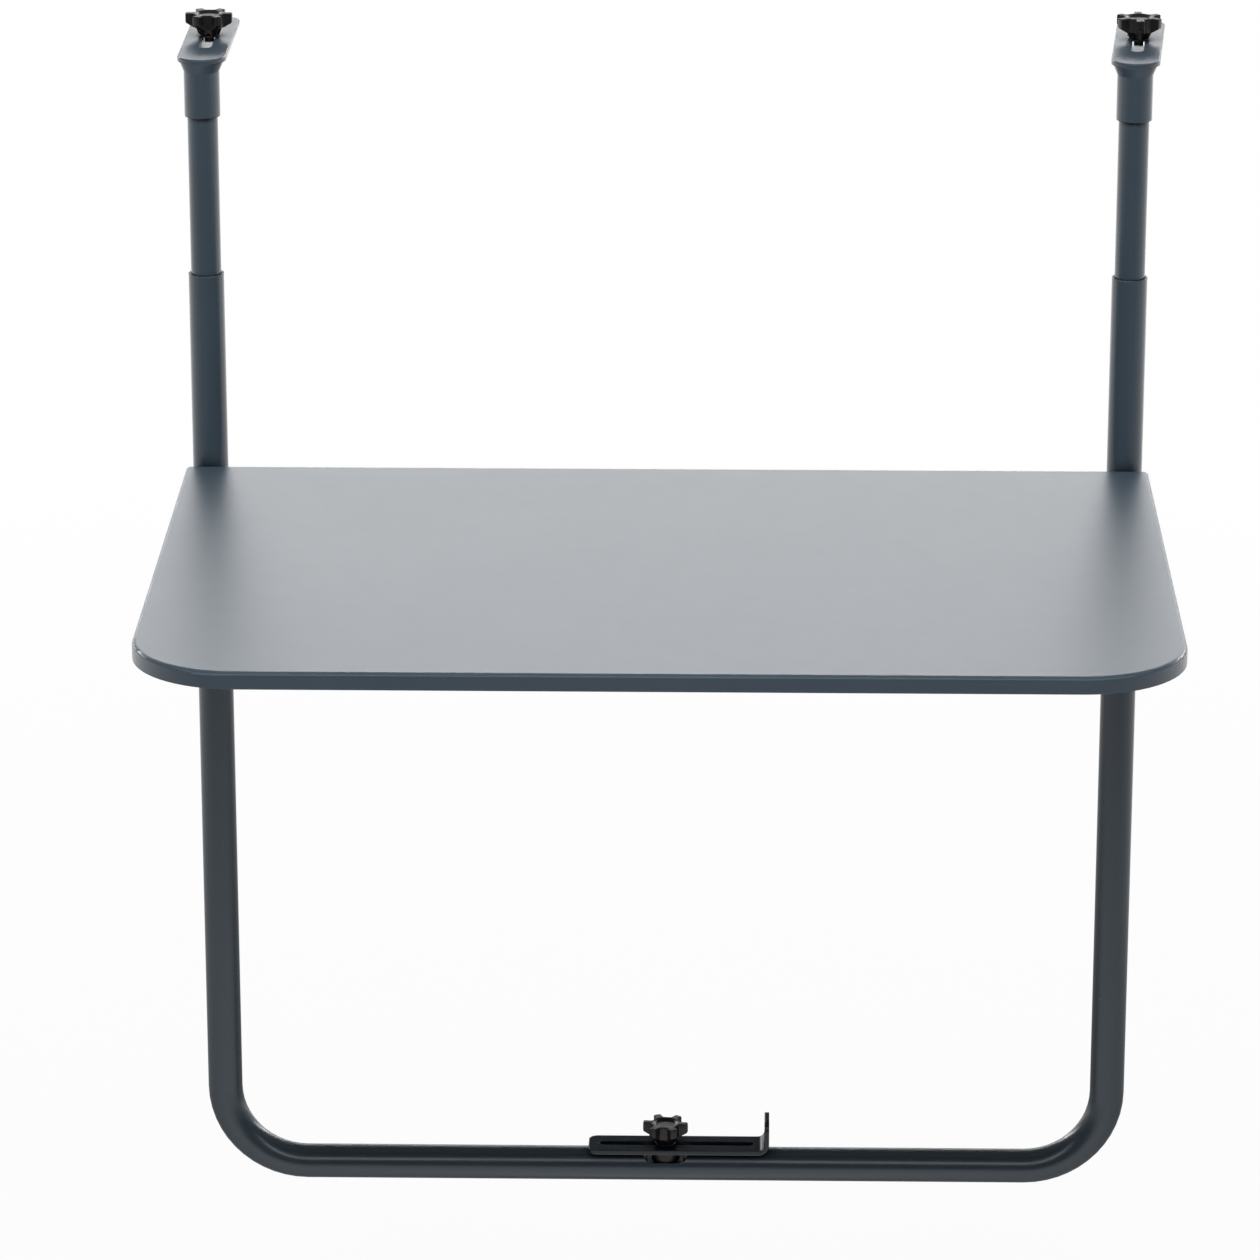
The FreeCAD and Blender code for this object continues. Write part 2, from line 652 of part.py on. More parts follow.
def make_height_locks():
    """Nuts welded behind the posts, and the screws in them that hold the inner tubes."""
    nuts, screws = [], []
    tip = inner_radius + d.catch_play
    nut_end = tube_radius + d.lock_nut
    head_start = nut_end + d.lock_reach
    for side in SIDES.values():
        middle = post_x * side
        nut = hexagon(d.lock_flats, d.lock_nut + d.tube_wall, Y_AXIS, middle, bore_radius, lock_z)
        post = cylinder(tube_radius + d.weld_gap, d.lock_flats * 2, Z_AXIS, middle, ZERO,
                        lock_z - d.lock_flats)
        nuts.append(cut(nut, post, cylinder(nut_bore, d.tube, Y_AXIS, middle, ZERO, lock_z)))
        shank = cylinder(stud_radius, head_start - tip, Y_AXIS, middle, tip, lock_z)
        screws.append(fuse(shank, hexagon(d.lock_flats, d.lock_head, Y_AXIS, middle, head_start, lock_z)))
    at_table("height_lock_nuts", group(*nuts))
    at_table("height_lock_screws", group(*screws))


def make_rivet_nut():
    """Threaded insert in the crossbar's seat, with a collar up to the bracket."""
    floor = crossbar_z + tube_radius - d.seat_depth
    collar = d.seat_depth - d.face_play
    body = fuse(cylinder(d.rivet_nut / 2, d.rivet_depth, Z_AXIS, ZERO, ZERO, floor - d.rivet_depth),
                cylinder(d.rivet_collar / 2, collar, Z_AXIS, ZERO, ZERO, floor))
    bore = cylinder(nut_bore, d.rivet_depth + collar, Z_AXIS, ZERO, ZERO, floor - d.rivet_depth)
    at_table("bracket_rivet_nut", cut(body, bore))


def make_stay():
    """Round rod bent to a U, which turns in the posts and props the tabletop up."""
    body = new_body("support_stay")
    path = Drawing(body, "XY_Plane")
    path.bent_path((-stay_end_x, ZERO), (("x", -stay_x), ("y", stay_length), ("x", stay_x), ("y", ZERO),
                                         ("x", stay_end_x)), d.rod_bend)
    section = Drawing(body, "YZ_Plane", -stay_end_x).circle(rod_radius)
    doc.recompute()
    pipe(body, path, section)
    lean = math.degrees(math.atan2(stay_rise.value, -d.stay_reach.value))
    body.Placement = FreeCAD.Placement(FreeCAD.Vector(), FreeCAD.Rotation(X_AXIS, lean))
    place(body, z=pivot_z - d.rail_drop)
    node("support_stay", body)


def turned_hook(thing, side):
    """Set a piece of a hook on its post, with the right one turned outwards."""
    if side > 0:
        thing.Placement = FreeCAD.Placement(FreeCAD.Vector(), FreeCAD.Rotation(Z_AXIS, -d.right_turn.value))
    return place(thing, x=post_x * side)


def make_hook(label, side):
    """Sleeve whose upper end is flared, pressed flat and bent back to a slotted plate."""
    body = new_body("hook")
    plate = Drawing(body, "XY_Plane").rectangle((-hook_half, hook_half), (d.hook_front, d.hook_back))
    doc.recompute()
    pad(body, plate, d.hook_thick)
    round_edges(body, d.hook_corner, lambda edge, middle: is_upright(edge)
                and middle.y > d.hook_back.value - d.hook_corner.value)
    pad(body, Drawing(body, "XY_Plane").circle(hook_half, ZERO, d.hook_front), d.hook_thick)
    pad(body, Drawing(body, "XY_Plane", -d.sleeve).circle(sleeve_radius), d.sleeve)
    flare = body.newObject("PartDesign::AdditiveLoft", "flare")
    flare.Profile = Drawing(body, "XY_Plane", -d.flare).circle(sleeve_radius).sketch
    rim = Drawing(body, "XY_Plane").circle(sleeve_radius + d.flare_spread, ZERO, d.hook_front / 2)
    flare.Sections = [rim.sketch]
    doc.recompute()
    round_edges(body, d.hook_edge, lambda edge, middle: lies_level(edge, d.hook_thick.value))
    bore = Drawing(body, "XY_Plane", -d.sleeve).circle(sleeve_bore)
    doc.recompute()
    pocket(body, bore, d.sleeve - d.hook_thick, reverse=True)
    slot = Drawing(body, "XY_Plane").stadium(d.slot_start + slot_radius, d.slot_end - slot_radius,
                                             slot_radius, upright=True)
    doc.recompute()
    pocket(body, slot, d.hook_thick, reverse=True)
    keeper = Drawing(body, "XZ_Plane").circle(d.keeper / 2 + d.thread_play, ZERO, -d.keeper_drop)
    doc.recompute()
    pocket(body, keeper, d.tube)
    node(label, turned_hook(body, side))


def make_keeper(label, side):
    """Screw behind a sleeve whose end runs in the inner tube's window and carries the table."""
    z = -d.keeper_drop
    tip = inner_radius - d.inner_wall
    end = sleeve_radius + d.keeper_cap
    seat = cylinder(sleeve_radius + d.weld_gap, d.keeper_head * 2, Z_AXIS, ZERO, ZERO, z - d.keeper_head)
    head = cut(cylinder(d.keeper_head / 2, end, Y_AXIS, ZERO, ZERO, z), seat)
    shank = cylinder(d.keeper / 2, end - tip, Y_AXIS, ZERO, tip, z)
    node(label, turned_hook(fuse(head, shank), side))


def make_inner_tube(label, side):
    """Straight tube that telescopes in a post and carries a hook on its upper end."""
    top = -(d.hook_thick + d.face_play)
    length = d.rail_drop - d.post_rise + d.inner_overlap + top
    sweep = inner_radius * math.sin(math.radians(d.swivel.value))
    window = sweep + d.keeper / 2 + d.keeper_play
    reach = d.keeper / 2 + d.keeper_play
    tube = ring(inner_radius, inner_radius - d.inner_wall, length, Z_AXIS, ZERO, ZERO, top - length)
    heights = (-d.keeper_drop - reach, -d.keeper_drop + reach)
    opening = box((-window, window), (inner_radius / 2, d.tube), heights)
    node(label, place(cut(tube, opening), x=post_x * side))


def make_knob_body(facing):
    """Star knob with raked lobes, a fluted and tapered hub and a dished top."""
    body = new_body("star_knob")
    core = d.knob_core / 2
    foot = d.knob_foot / 2
    tip = d.knob / 2
    crown = d.knob_hub + d.knob_rim
    profile = Drawing(body, "XZ_Plane")
    profile.polygon((ZERO, ZERO), (foot, ZERO), (core, d.knob_hub), (core, crown), (ZERO, crown))
    doc.recompute()
    revolve(body, profile)
    root_z = d.knob_hub - d.knob_rake
    lobe_end = tip - d.knob_lobe / 2
    lobe = Drawing(body, "XY_Plane", root_z).stadium(foot / 2, lobe_end, d.knob_lobe / 2)
    doc.recompute()
    repeat_round(body, lobe, pad(body, lobe, d.knob_rim + d.knob_rake), d.knob_lobes)
    rake = Drawing(body, "XZ_Plane")
    rake.polygon((core, root_z), (tip, d.knob_hub), (tip + d.knob_rim, d.knob_hub), (tip + d.knob_rim, ZERO),
                 (core, ZERO))
    doc.recompute()
    revolve(body, rake, "PartDesign::Groove")
    dish = d.knob_dish / 2
    sunk = crown - d.knob_sink
    dish_drawing = Drawing(body, "XZ_Plane")
    dish_drawing.polygon((ZERO, sunk), (dish - d.knob_sink, sunk), (dish, crown), (ZERO, crown))
    doc.recompute()
    revolve(body, dish_drawing, "PartDesign::Groove")
    between = math.pi / d.knob_lobes.value
    flute = Drawing(body, "XY_Plane")
    flute.circle(d.knob_flute / 2, foot * math.cos(between), foot * math.sin(between))
    doc.recompute()
    repeat_round(body, flute, pocket(body, flute, root_z, reverse=True), d.knob_lobes)
    bore = Drawing(body, "XY_Plane").circle(stud_radius + d.weld_gap)
    doc.recompute()
    pocket(body, bore, d.knob_bite, reverse=True)
    body.Placement = FreeCAD.Placement(FreeCAD.Vector(), FreeCAD.Rotation(Z_AXIS, facing.value))
    return body


def make_hook_clamp(name, side):
    """Knob, stud, washer and square nut that close one hook behind the handrail."""
    foot = d.hook_thick + knob_gap
    nut_z = -d.clamp_nut_thick
    half = d.clamp_nut / 2
    nut_y = (d.stud_back - half, d.stud_back + half)
    nut = cut(box((-half, half), nut_y, (nut_z, ZERO)),
              cylinder(nut_bore, d.clamp_nut_thick, Z_AXIS, ZERO, d.stud_back, nut_z))
    washer = ring(d.washer / 2, nut_bore, d.washer_thick, Z_AXIS, ZERO, d.stud_back, d.hook_thick)
    node(f"{name}_clamp_nut", turned_hook(nut, side))
    node(f"{name}_clamp_washer", turned_hook(washer, side))
    turn = math.radians(d.right_turn.value if side > 0 else 0.0)
    stud_x = post_x * side + d.stud_back * math.sin(turn)
    stud_y = d.stud_back * math.cos(turn)
    length = foot + d.knob_bite - nut_z
    node(f"{name}_knob_stud", cylinder(stud_radius, length, Z_AXIS, stud_x, stud_y, nut_z))
    facing = d.knob_face + (d.right_knob_turn if side > 0 else ZERO)
    node(f"{name}_hook_knob", place(make_knob_body(facing), stud_x, stud_y, foot))


def make_lower_bracket():
    """Slotted flat bar with a turned-up end, held on the crossbar by its knob."""
    body = new_body("rail_bracket")
    thick = d.bracket_thick
    inside = d.bracket_nose - thick
    profile = Drawing(body, "XZ_Plane")
    profile.polygon((-d.bracket_tail, ZERO), (d.bracket_nose, ZERO), (d.bracket_nose, d.bracket_rise),
                    (inside, d.bracket_rise), (inside, thick), (-d.bracket_tail, thick))
    doc.recompute()
    pad(body, profile, d.bracket_width, midplane=True)

    def runs_across(edge):
        return edge.BoundBox.YLength > d.bracket_width.value - 1

    round_edges(body, d.bracket_bend, lambda edge, middle: runs_across(edge) and middle.z > thick.value / 2
                and abs(middle.x - inside.value) < 0.01 and middle.z < d.bracket_rise.value / 2)
    round_edges(body, d.bracket_bend + thick, lambda edge, middle: runs_across(edge) and middle.z < 0.01
                and middle.x > inside.value)
    round_edges(body, d.bracket_corner, lambda edge, middle: is_upright(edge) and middle.x < 0)
    round_edges(body, d.bracket_corner, lambda edge, middle: lies_level(edge, d.bracket_rise.value)
                and edge.BoundBox.XLength > thick.value - 0.01)
    round_edges(body, d.bracket_edge, lambda edge, middle: lies_level(edge, thick.value))
    slot = Drawing(body, "XY_Plane").stadium(bracket_slot_radius - d.bracket_slot_tail,
                                             d.bracket_slot_nose - bracket_slot_radius, bracket_slot_radius)
    doc.recompute()
    pocket(body, slot, thick, reverse=True)
    under = crossbar_z + tube_radius
    place(body, z=under - d.rail_drop)
    node("rail_bracket", body)
    foot = under + thick + knob_gap
    washer = ring(d.washer / 2, nut_bore, d.washer_thick, Z_AXIS, ZERO, ZERO, under + thick)
    at_table("bracket_washer", washer)
    low = under - d.seat_depth - d.rivet_depth
    stud_length = foot + d.knob_bite - low
    node("bracket_stud", cylinder(stud_radius, stud_length, Z_AXIS, ZERO, ZERO, low - d.rail_drop))
    node("bracket_knob", place(make_knob_body(d.knob_face + d.bracket_knob_turn), z=foot - d.rail_drop))


make_tabletop()
make_stiffener()
make_hinge_fasteners()
make_frame()
make_height_locks()
make_rivet_nut()
make_stay()
make_lower_bracket()
for name, side in SIDES.items():
    make_hinge_bracket(f"{name}_hinge_bracket", side)
    make_stay_catch(f"{name}_stay_catch", side)
    make_post_lug(f"{name}_post_lug", side)
    make_stay_bush(f"{name}_stay_bush", side)
    make_inner_tube(f"{name}_inner_tube", side)
    make_hook(f"{name}_hook", side)
    make_keeper(f"{name}_hook_keeper", side)
    make_hook_clamp(name, side)
doc.recompute()

for thing in doc.Objects:
    if {"Invalid", "Error"} & set(thing.State):
        raise RuntimeError(f"{thing.Label} failed: {thing.State}")
for thing in nodes:
    if thing.Shape.isNull() or not thing.Shape.isValid():
        raise RuntimeError(f"{thing.Label} has no valid shape")
os.makedirs("parts", exist_ok=True)
for thing in nodes:
    thing.Shape.exportStep(f"parts/{thing.Label}.step")
    print(thing.Label, len(thing.Shape.Solids), round(thing.Shape.Volume))
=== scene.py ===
"""Looks of a folding balcony table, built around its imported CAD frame.

The CAD nodes keep their shapes and take procedural finishes. The star knobs, bolts, screws and welds are
modelled here. Lengths are in metres.
"""

import logging
import math
from dataclasses import dataclass, field
from enum import Enum
from typing import Any, Callable, Dict, List, Optional, Sequence, Tuple

import bmesh
import bpy
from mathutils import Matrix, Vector

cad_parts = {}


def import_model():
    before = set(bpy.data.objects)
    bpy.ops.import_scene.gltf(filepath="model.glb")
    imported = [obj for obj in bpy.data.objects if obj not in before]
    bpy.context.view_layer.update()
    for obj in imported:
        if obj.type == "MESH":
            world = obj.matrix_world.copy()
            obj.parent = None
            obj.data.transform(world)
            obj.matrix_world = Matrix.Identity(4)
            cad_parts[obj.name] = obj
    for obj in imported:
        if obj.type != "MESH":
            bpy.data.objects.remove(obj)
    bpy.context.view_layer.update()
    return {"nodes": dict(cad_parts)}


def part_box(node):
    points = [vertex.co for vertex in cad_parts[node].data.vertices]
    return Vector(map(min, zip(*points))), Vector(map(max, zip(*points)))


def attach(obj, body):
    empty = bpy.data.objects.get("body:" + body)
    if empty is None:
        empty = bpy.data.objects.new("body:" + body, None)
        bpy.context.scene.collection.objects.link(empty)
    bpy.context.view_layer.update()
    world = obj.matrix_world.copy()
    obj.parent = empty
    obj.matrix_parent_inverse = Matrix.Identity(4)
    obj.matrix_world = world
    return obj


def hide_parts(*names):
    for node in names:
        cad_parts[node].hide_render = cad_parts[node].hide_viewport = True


LOG = logging.getLogger("balcony_table")
IMAGE_WIDTH = 1260.0
SENSOR_WIDTH = 36.0
QUARTER_TURN = math.pi / 2
Colour = Tuple[float, float, float]
Point = Tuple[float, float, float]
Range = Tuple[float, float]
Socket = bpy.types.NodeSocket

# Values from which the shaders' masks are made
RAY_SAMPLES = 6
EDGE_COSINES: Range = (0.97, 0.78)
OPEN_SHARES: Range = (0.30, 0.85)
LEVEL_COSINES: Range = (0.75, 0.95)
NOISE_RANGE: Range = (0.3, 0.7)
WEAR_RANGE: Range = (0.42, 0.66)
WEAR_DETAIL = 3.0
SPECK_CORE = 0.6

# Limits for picking faces and points of a model, and how its edges are finished
NEAR = 1e-5
MARGIN = 1e-3
LEVEL = 0.9
UPRIGHT = 0.1
MERGE = 1e-6
BEVEL_SEGMENTS = 2


class Look(Enum):
    """Finishes of the table, each with its label and the record's slot that it belongs to."""

    COAT = ("coat", "slate_coat")
    TOP_COAT = ("top_coat", "slate_coat")
    # Shaded copy of the slate coat: its darker colour is painted shade
    SHADED_BRACKET_COAT = ("shaded_bracket_coat", "slate_coat")
    PLASTIC = ("plastic", "black_plastic")
    NYLON = ("nylon", "nylon")
    ZINC = ("zinc", "zinc_steel")
    DARK = ("dark", "dark_steel")

    @property
    def label(self) -> str:
        """The finish's name in the log."""
        return self.value[0]

    @property
    def slot(self) -> str:
        """The record's material slot."""
        return self.value[1]


class Side(Enum):
    """The two sides of the table, as the user sees them."""

    LEFT = "left"
    RIGHT = "right"

    def node(self, name: str) -> str:
        """Name a CAD node or body on this side.

        Args:
            name: The name without its side.

        Returns:
            The whole name.
        """
        return f"{self.value}_{name}"


class NodeSheet:
    """A node tree with short ways to add and link nodes."""

    def __init__(self, tree: bpy.types.NodeTree) -> None:
        """Start with an empty tree.

        Args:
            tree: The tree to fill.
        """
        self.tree = tree
        self.tree.nodes.clear()

    def add(self, kind: str, **settings: Any) -> bpy.types.Node:
        """Add a node and set its properties.

        Args:
            kind: The node's type name.
            settings: Properties of the node by name.

        Returns:
            The new node.
        """
        node = self.tree.nodes.new(kind)
        for name, value in settings.items():
            setattr(node, name, value)
        return node

    def join(self, source: Socket, target: Socket) -> None:
        """Link an output to an input.

        Args:
            source: The output.
            target: The input.
        """
        self.tree.links.new(source, target)

    def feed(self, source: Any, target: Socket) -> None:
        """Give an input a socket or a plain value.

        Args:
            source: The output or the value.
            target: The input.
        """
        if isinstance(source, bpy.types.NodeSocket):
            self.join(source, target)
        else:
            target.default_value = source

    def span(self, value: Socket, low: float, high: float, to_low: Any = 0.0, to_high: Any = 1.0,
             smooth: bool = False) -> Socket:
        """Map a value from one range to another and clamp it.

        Args:
            value: The value to map.
            low: Start of the range of the value.
            high: End of the range of the value.
            to_low: Result at the start, a number or a socket.
            to_high: Result at the end, a number or a socket.
            smooth: Whether the result eases in and out.

        Returns:
            The mapped value.
        """
        node = self.add("ShaderNodeMapRange", interpolation_type="SMOOTHSTEP" if smooth else "LINEAR")
        for name, number in (("From Min", low), ("From Max", high), ("To Min", to_low), ("To Max", to_high)):
            self.feed(number, node.inputs[name])
        self.join(value, node.inputs["Value"])
        return node.outputs["Result"]

    def calculate(self, operation: str, first: Socket, second: Any) -> Socket:
        """Combine two values.

        Args:
            operation: Name of the sum.
            first: The first value.
            second: The second value, a socket or a number.

        Returns:
            The result.
        """
        node = self.add("ShaderNodeMath", operation=operation)
        self.join(first, node.inputs[0])
        self.feed(second, node.inputs[1])
        return node.outputs["Value"]


class ShaderSheet(NodeSheet):
    """A material's node tree, with patterns on the piece's own coordinates."""

    def __init__(self, name: str) -> None:
        """Start a material with one surface shader.

        Args:
            name: The material's name.
        """
        self.material = bpy.data.materials.new(name)
        self.material.use_nodes = True
        super().__init__(self.material.node_tree)
        self.surface = self.add("ShaderNodeBsdfPrincipled")
        self.output = self.add("ShaderNodeOutputMaterial")
        self.join(self.surface.outputs["BSDF"], self.output.inputs["Surface"])
        coordinates = self.add("ShaderNodeTexCoord")
        self.place, self.facing = coordinates.outputs["Object"], coordinates.outputs["Normal"]

    def noise(self, scale: float, detail: float, stretch: Sequence[float] = (1, 1, 1)) -> Socket:
        """Add a noise pattern.

        Args:
            scale: Waves per metre.
            detail: Number of finer layers.
            stretch: Scale of the pattern along each axis.

        Returns:
            The pattern's value.
        """
        mapping = self.add("ShaderNodeMapping")
        mapping.inputs["Scale"].default_value = stretch
        self.join(self.place, mapping.inputs["Vector"])
        noise = self.add("ShaderNodeTexNoise")
        noise.inputs["Scale"].default_value = scale
        noise.inputs["Detail"].default_value = detail
        self.join(mapping.outputs["Vector"], noise.inputs["Vector"])
        return noise.outputs["Fac"]

    def specks(self, scale: float, reach: float) -> Socket:
        """Add sparse round specks.

        Args:
            scale: Cells per metre, each with one speck.
            reach: Radius of a speck as a share of its cell.

        Returns:
            A mask that is one inside the specks.
        """
        cells = self.add("ShaderNodeTexVoronoi")
        cells.inputs["Scale"].default_value = scale
        self.join(self.place, cells.inputs["Vector"])
        return self.span(cells.outputs["Distance"], reach, reach * SPECK_CORE)

    def blend(self, mask: Socket, first: Any, second: Colour) -> Socket:
        """Mix two colours by a mask.

        Args:
            mask: Zero for the first colour and one for the second.
            first: A colour or a colour socket.
            second: The second colour.

        Returns:
            The mixed colour.
        """
        node = self.add("ShaderNodeMix", data_type="RGBA")
        self.join(mask, node.inputs["Factor"])
        self.feed((*first, 1.0) if isinstance(first, tuple) else first, node.inputs["A"])
        node.inputs["B"].default_value = (*second, 1.0)
        return node.outputs["Result"]

    def rounded(self, radius: float) -> Socket:
        """Ease the sharp edges in the surface's direction.

        Args:
            radius: Radius of the eased edges.

        Returns:
            The eased normal.
        """
        node = self.add("ShaderNodeBevel", samples=RAY_SAMPLES)
        node.inputs["Radius"].default_value = radius
        return node.outputs["Normal"]

    def edge_mask(self, radius: float, ragged: float, wear_and_highlight_range: Range) -> Socket:
        """Find the sharp edges of a piece.

        Args:
            radius: How far from an edge the mask reaches.
            ragged: Scale of the noise that breaks the mask up.
            wear_and_highlight_range: Values of the noise where the wear and the painted edge highlight start
                and are full.

        Returns:
            A mask that is one along worn edges and along edges that take a painted highlight.
        """
        product = self.add("ShaderNodeVectorMath", operation="DOT_PRODUCT")
        self.join(self.rounded(radius), product.inputs[0])
        self.join(self.add("ShaderNodeNewGeometry").outputs["Normal"], product.inputs[1])
        edge = self.span(product.outputs["Value"], *EDGE_COSINES)
        return self.calculate("MULTIPLY", edge, self.span(self.noise(ragged, WEAR_DETAIL), *wear_and_highlight_range))

    def unshaded_share(self, reach: float) -> Socket:
        """Tell open faces from crevices, where shade is painted.

        Args:
            reach: How far away a neighbour still closes a face in.

        Returns:
            A mask that is one in the open and zero in a crevice.
        """
        node = self.add("ShaderNodeAmbientOcclusion", samples=RAY_SAMPLES)
        node.inputs["Distance"].default_value = reach
        return self.span(node.outputs["AO"], *OPEN_SHARES)

    def upward(self) -> Socket:
        """Find the level upper faces of a piece.

        Returns:
            A mask that is one on them.
        """
        way = self.add("ShaderNodeSeparateXYZ")
        self.join(self.facing, way.inputs["Vector"])
        return self.span(way.outputs["Z"], *LEVEL_COSINES)

    def bump(self, height: Socket, depth: float, strength: float, easing: float) -> None:
        """Give the surface a fine relief on eased edges.

        Args:
            height: Pattern of the relief.
            depth: Height of the relief.
            strength: How much of it shows.
            easing: Radius of the eased edges.
        """
        node = self.add("ShaderNodeBump")
        node.inputs["Distance"].default_value = depth
        node.inputs["Strength"].default_value = strength
        self.join(height, node.inputs["Height"])
        self.join(self.rounded(easing), node.inputs["Normal"])
        self.join(node.outputs["Normal"], self.surface.inputs["Normal"])


@dataclass(frozen=True)
class PowderCoat:
    """Satin powder coat with mottling, orange peel, specks, worn edges (a painted edge highlight on the
    bracket's copy), dulled tops and painted shade in crevices.
    """

    name: str = "slate_powder_coat"
    colour: Colour = (0.034, 0.050, 0.066)
    mottle: Colour = (0.038, 0.054, 0.070)
    # Colour of worn edges, used as a painted edge highlight on the bracket's shaded copy
    edge_wear_and_highlight: Colour = (0.10, 0.125, 0.145)
    speck: Colour = (0.11, 0.13, 0.14)
    # Painted shade in crevices, not a colour of the coat
    crevice_shade: Colour = (0.004, 0.005, 0.006)
    roughness: Range = (0.235, 0.265)
    wear_and_highlight_range: Range = WEAR_RANGE
    specular: float = 0.5
    top_specular: float = 0.2
    top_dulling: float = 0.17
    crevice_shade_reach: float = 0.012
    cloud_scale: float = 9.0
    cloud_range: Range = (0.35, 0.65)
    wear_reach: float = 0.0011
    wear_scale: float = 240.0
    cluster_scale: float = 31.0
    cluster_range: Range = (0.60, 0.66)
    speck_scale: float = 170.0
    speck_reach: float = 0.07
    gloss_scale: float = 60.0
    peel_scale: float = 700.0
    peel_depth: float = 0.00006
    peel_strength: float = 0.35
    easing: float = 0.0007

    def build(self) -> bpy.types.Material:
        """Make the material.

        Returns:
            The material.
        """
        sheet = ShaderSheet(self.name)
        # Painted shade: an ambient occlusion mask dims the reflections in crevices and turns their colour
        # nearly black
        unshaded, upward = sheet.unshaded_share(self.crevice_shade_reach), sheet.upward()
        shine = sheet.span(upward, 0.0, 1.0, self.specular, self.top_specular)
        sheet.join(sheet.calculate("MULTIPLY", shine, unshaded), sheet.surface.inputs["Specular IOR Level"])
        clouds = sheet.span(sheet.noise(self.cloud_scale, detail=4.0), *self.cloud_range)
        colour = sheet.blend(clouds, self.colour, self.mottle)
        # Edge wear; with the wide range of the bracket's shaded copy it becomes a painted highlight along all
        # its edges
        edges = sheet.edge_mask(self.wear_reach, self.wear_scale, self.wear_and_highlight_range)
        colour = sheet.blend(edges, colour, self.edge_wear_and_highlight)
        clusters = sheet.span(sheet.noise(self.cluster_scale, detail=1.0), *self.cluster_range)
        specks = sheet.calculate("MULTIPLY", sheet.specks(self.speck_scale, self.speck_reach), clusters)
        colour = sheet.blend(specks, colour, self.speck)
        # Painted shade: nearly black colour in crevices
        colour = sheet.blend(sheet.span(unshaded, 1.0, 0.0), colour, self.crevice_shade)
        sheet.join(colour, sheet.surface.inputs["Base Color"])
        gloss = sheet.span(sheet.noise(self.gloss_scale, detail=3.0), *NOISE_RANGE, *self.roughness)
        dulling = sheet.span(upward, 0.0, 1.0, 0.0, self.top_dulling)
        sheet.join(sheet.calculate("ADD", gloss, dulling), sheet.surface.inputs["Roughness"])
        peel = sheet.noise(self.peel_scale, detail=1.5)
        sheet.bump(peel, self.peel_depth, self.peel_strength, self.easing)
        return sheet.material


@dataclass(frozen=True)
class MouldedPlastic:
    """Moulded plastic with a fine spark texture and rubbed edges."""

    name: str = "black_moulded_plastic"
    colour: Colour = (0.009, 0.009, 0.0095)
    rubbed: Colour = (0.045, 0.045, 0.047)
    roughness: Range = (0.32, 0.44)
    specular: float = 0.4
    top_specular: float = 0.04
    wear_reach: float = 0.0008
    wear_scale: float = 500.0
    gloss_scale: float = 420.0
    grain_scale: float = 2600.0
    grain_depth: float = 0.00003
    grain_strength: float = 0.4
    easing: float = 0.0004

    def build(self) -> bpy.types.Material:
        """Make the material.

        Returns:
            The material.
        """
        sheet = ShaderSheet(self.name)
        shine = sheet.span(sheet.upward(), 0.0, 1.0, self.specular, self.top_specular)
        sheet.join(shine, sheet.surface.inputs["Specular IOR Level"])
        edges = sheet.edge_mask(self.wear_reach, self.wear_scale, WEAR_RANGE)
        sheet.join(sheet.blend(edges, self.colour, self.rubbed), sheet.surface.inputs["Base Color"])
        gloss = sheet.span(sheet.noise(self.gloss_scale, detail=3.0), *NOISE_RANGE, *self.roughness)
        sheet.join(gloss, sheet.surface.inputs["Roughness"])
        grain = sheet.noise(self.grain_scale, detail=2.0)
        sheet.bump(grain, self.grain_depth, self.grain_strength, self.easing)
        return sheet.material


@dataclass(frozen=True)
class PlatedSteel:
    """Bare or blackened steel of fasteners, with streaks and dull patches."""

    name: str
    colour: Colour
    stain: Colour
    metallic: float
    roughness: Range
    patch_scale: float = 160.0
    patch_range: Range = (0.42, 0.62)
    streak_scale: float = 900.0
    streak_stretch: Point = (1, 1, 0.25)
    relief_scale: float = 1800.0
    relief_stretch: Point = (1, 1, 0.3)
    relief_depth: float = 0.00004
    relief_strength: float = 0.3
    easing: float = 0.0003

    def build(self) -> bpy.types.Material:
        """Make the material.

        Returns:
            The material.
        """
        sheet = ShaderSheet(self.name)
        sheet.surface.inputs["Metallic"].default_value = self.metallic
        patches = sheet.span(sheet.noise(self.patch_scale, detail=4.0), *self.patch_range)
        sheet.join(sheet.blend(patches, self.colour, self.stain), sheet.surface.inputs["Base Color"])
        streaks = sheet.noise(self.streak_scale, detail=2.0, stretch=self.streak_stretch)
        gloss = sheet.span(streaks, *NOISE_RANGE, *self.roughness)
        sheet.join(gloss, sheet.surface.inputs["Roughness"])
        relief = sheet.noise(self.relief_scale, detail=2.0, stretch=self.relief_stretch)
        sheet.bump(relief, self.relief_depth, self.relief_strength, self.easing)
        return sheet.material


FINISHES: Dict[Look, Any] = {
    Look.COAT: PowderCoat(),
    Look.TOP_COAT: PowderCoat("tabletop_powder_coat", roughness=(0.24, 0.25), top_specular=0.5),
    # Shaded copy of the slate coat for the lower bracket: its darker colour is painted shade, and its edges
    # take a painted highlight
    Look.SHADED_BRACKET_COAT: PowderCoat("shaded_powder_coat", (0.016, 0.024, 0.033), (0.018, 0.026, 0.035),
                                  (0.105, 0.13, 0.145), wear_and_highlight_range=(0.08, 0.36), specular=0.35, top_specular=0.004),
    Look.PLASTIC: MouldedPlastic(),
    Look.NYLON: MouldedPlastic("dark_nylon", (0.02, 0.02, 0.021), (0.06, 0.06, 0.062), (0.45, 0.58),
                               grain_scale=1500.0),
    Look.ZINC: PlatedSteel("zinc_plated_steel", (0.74, 0.75, 0.76), (0.62, 0.63, 0.64), 0.4, (0.34, 0.46)),
    Look.DARK: PlatedSteel("blackened_steel", (0.02, 0.021, 0.023), (0.03, 0.03, 0.03), 0.5, (0.34, 0.48)),
}
Palette = Dict[Look, bpy.types.Material]


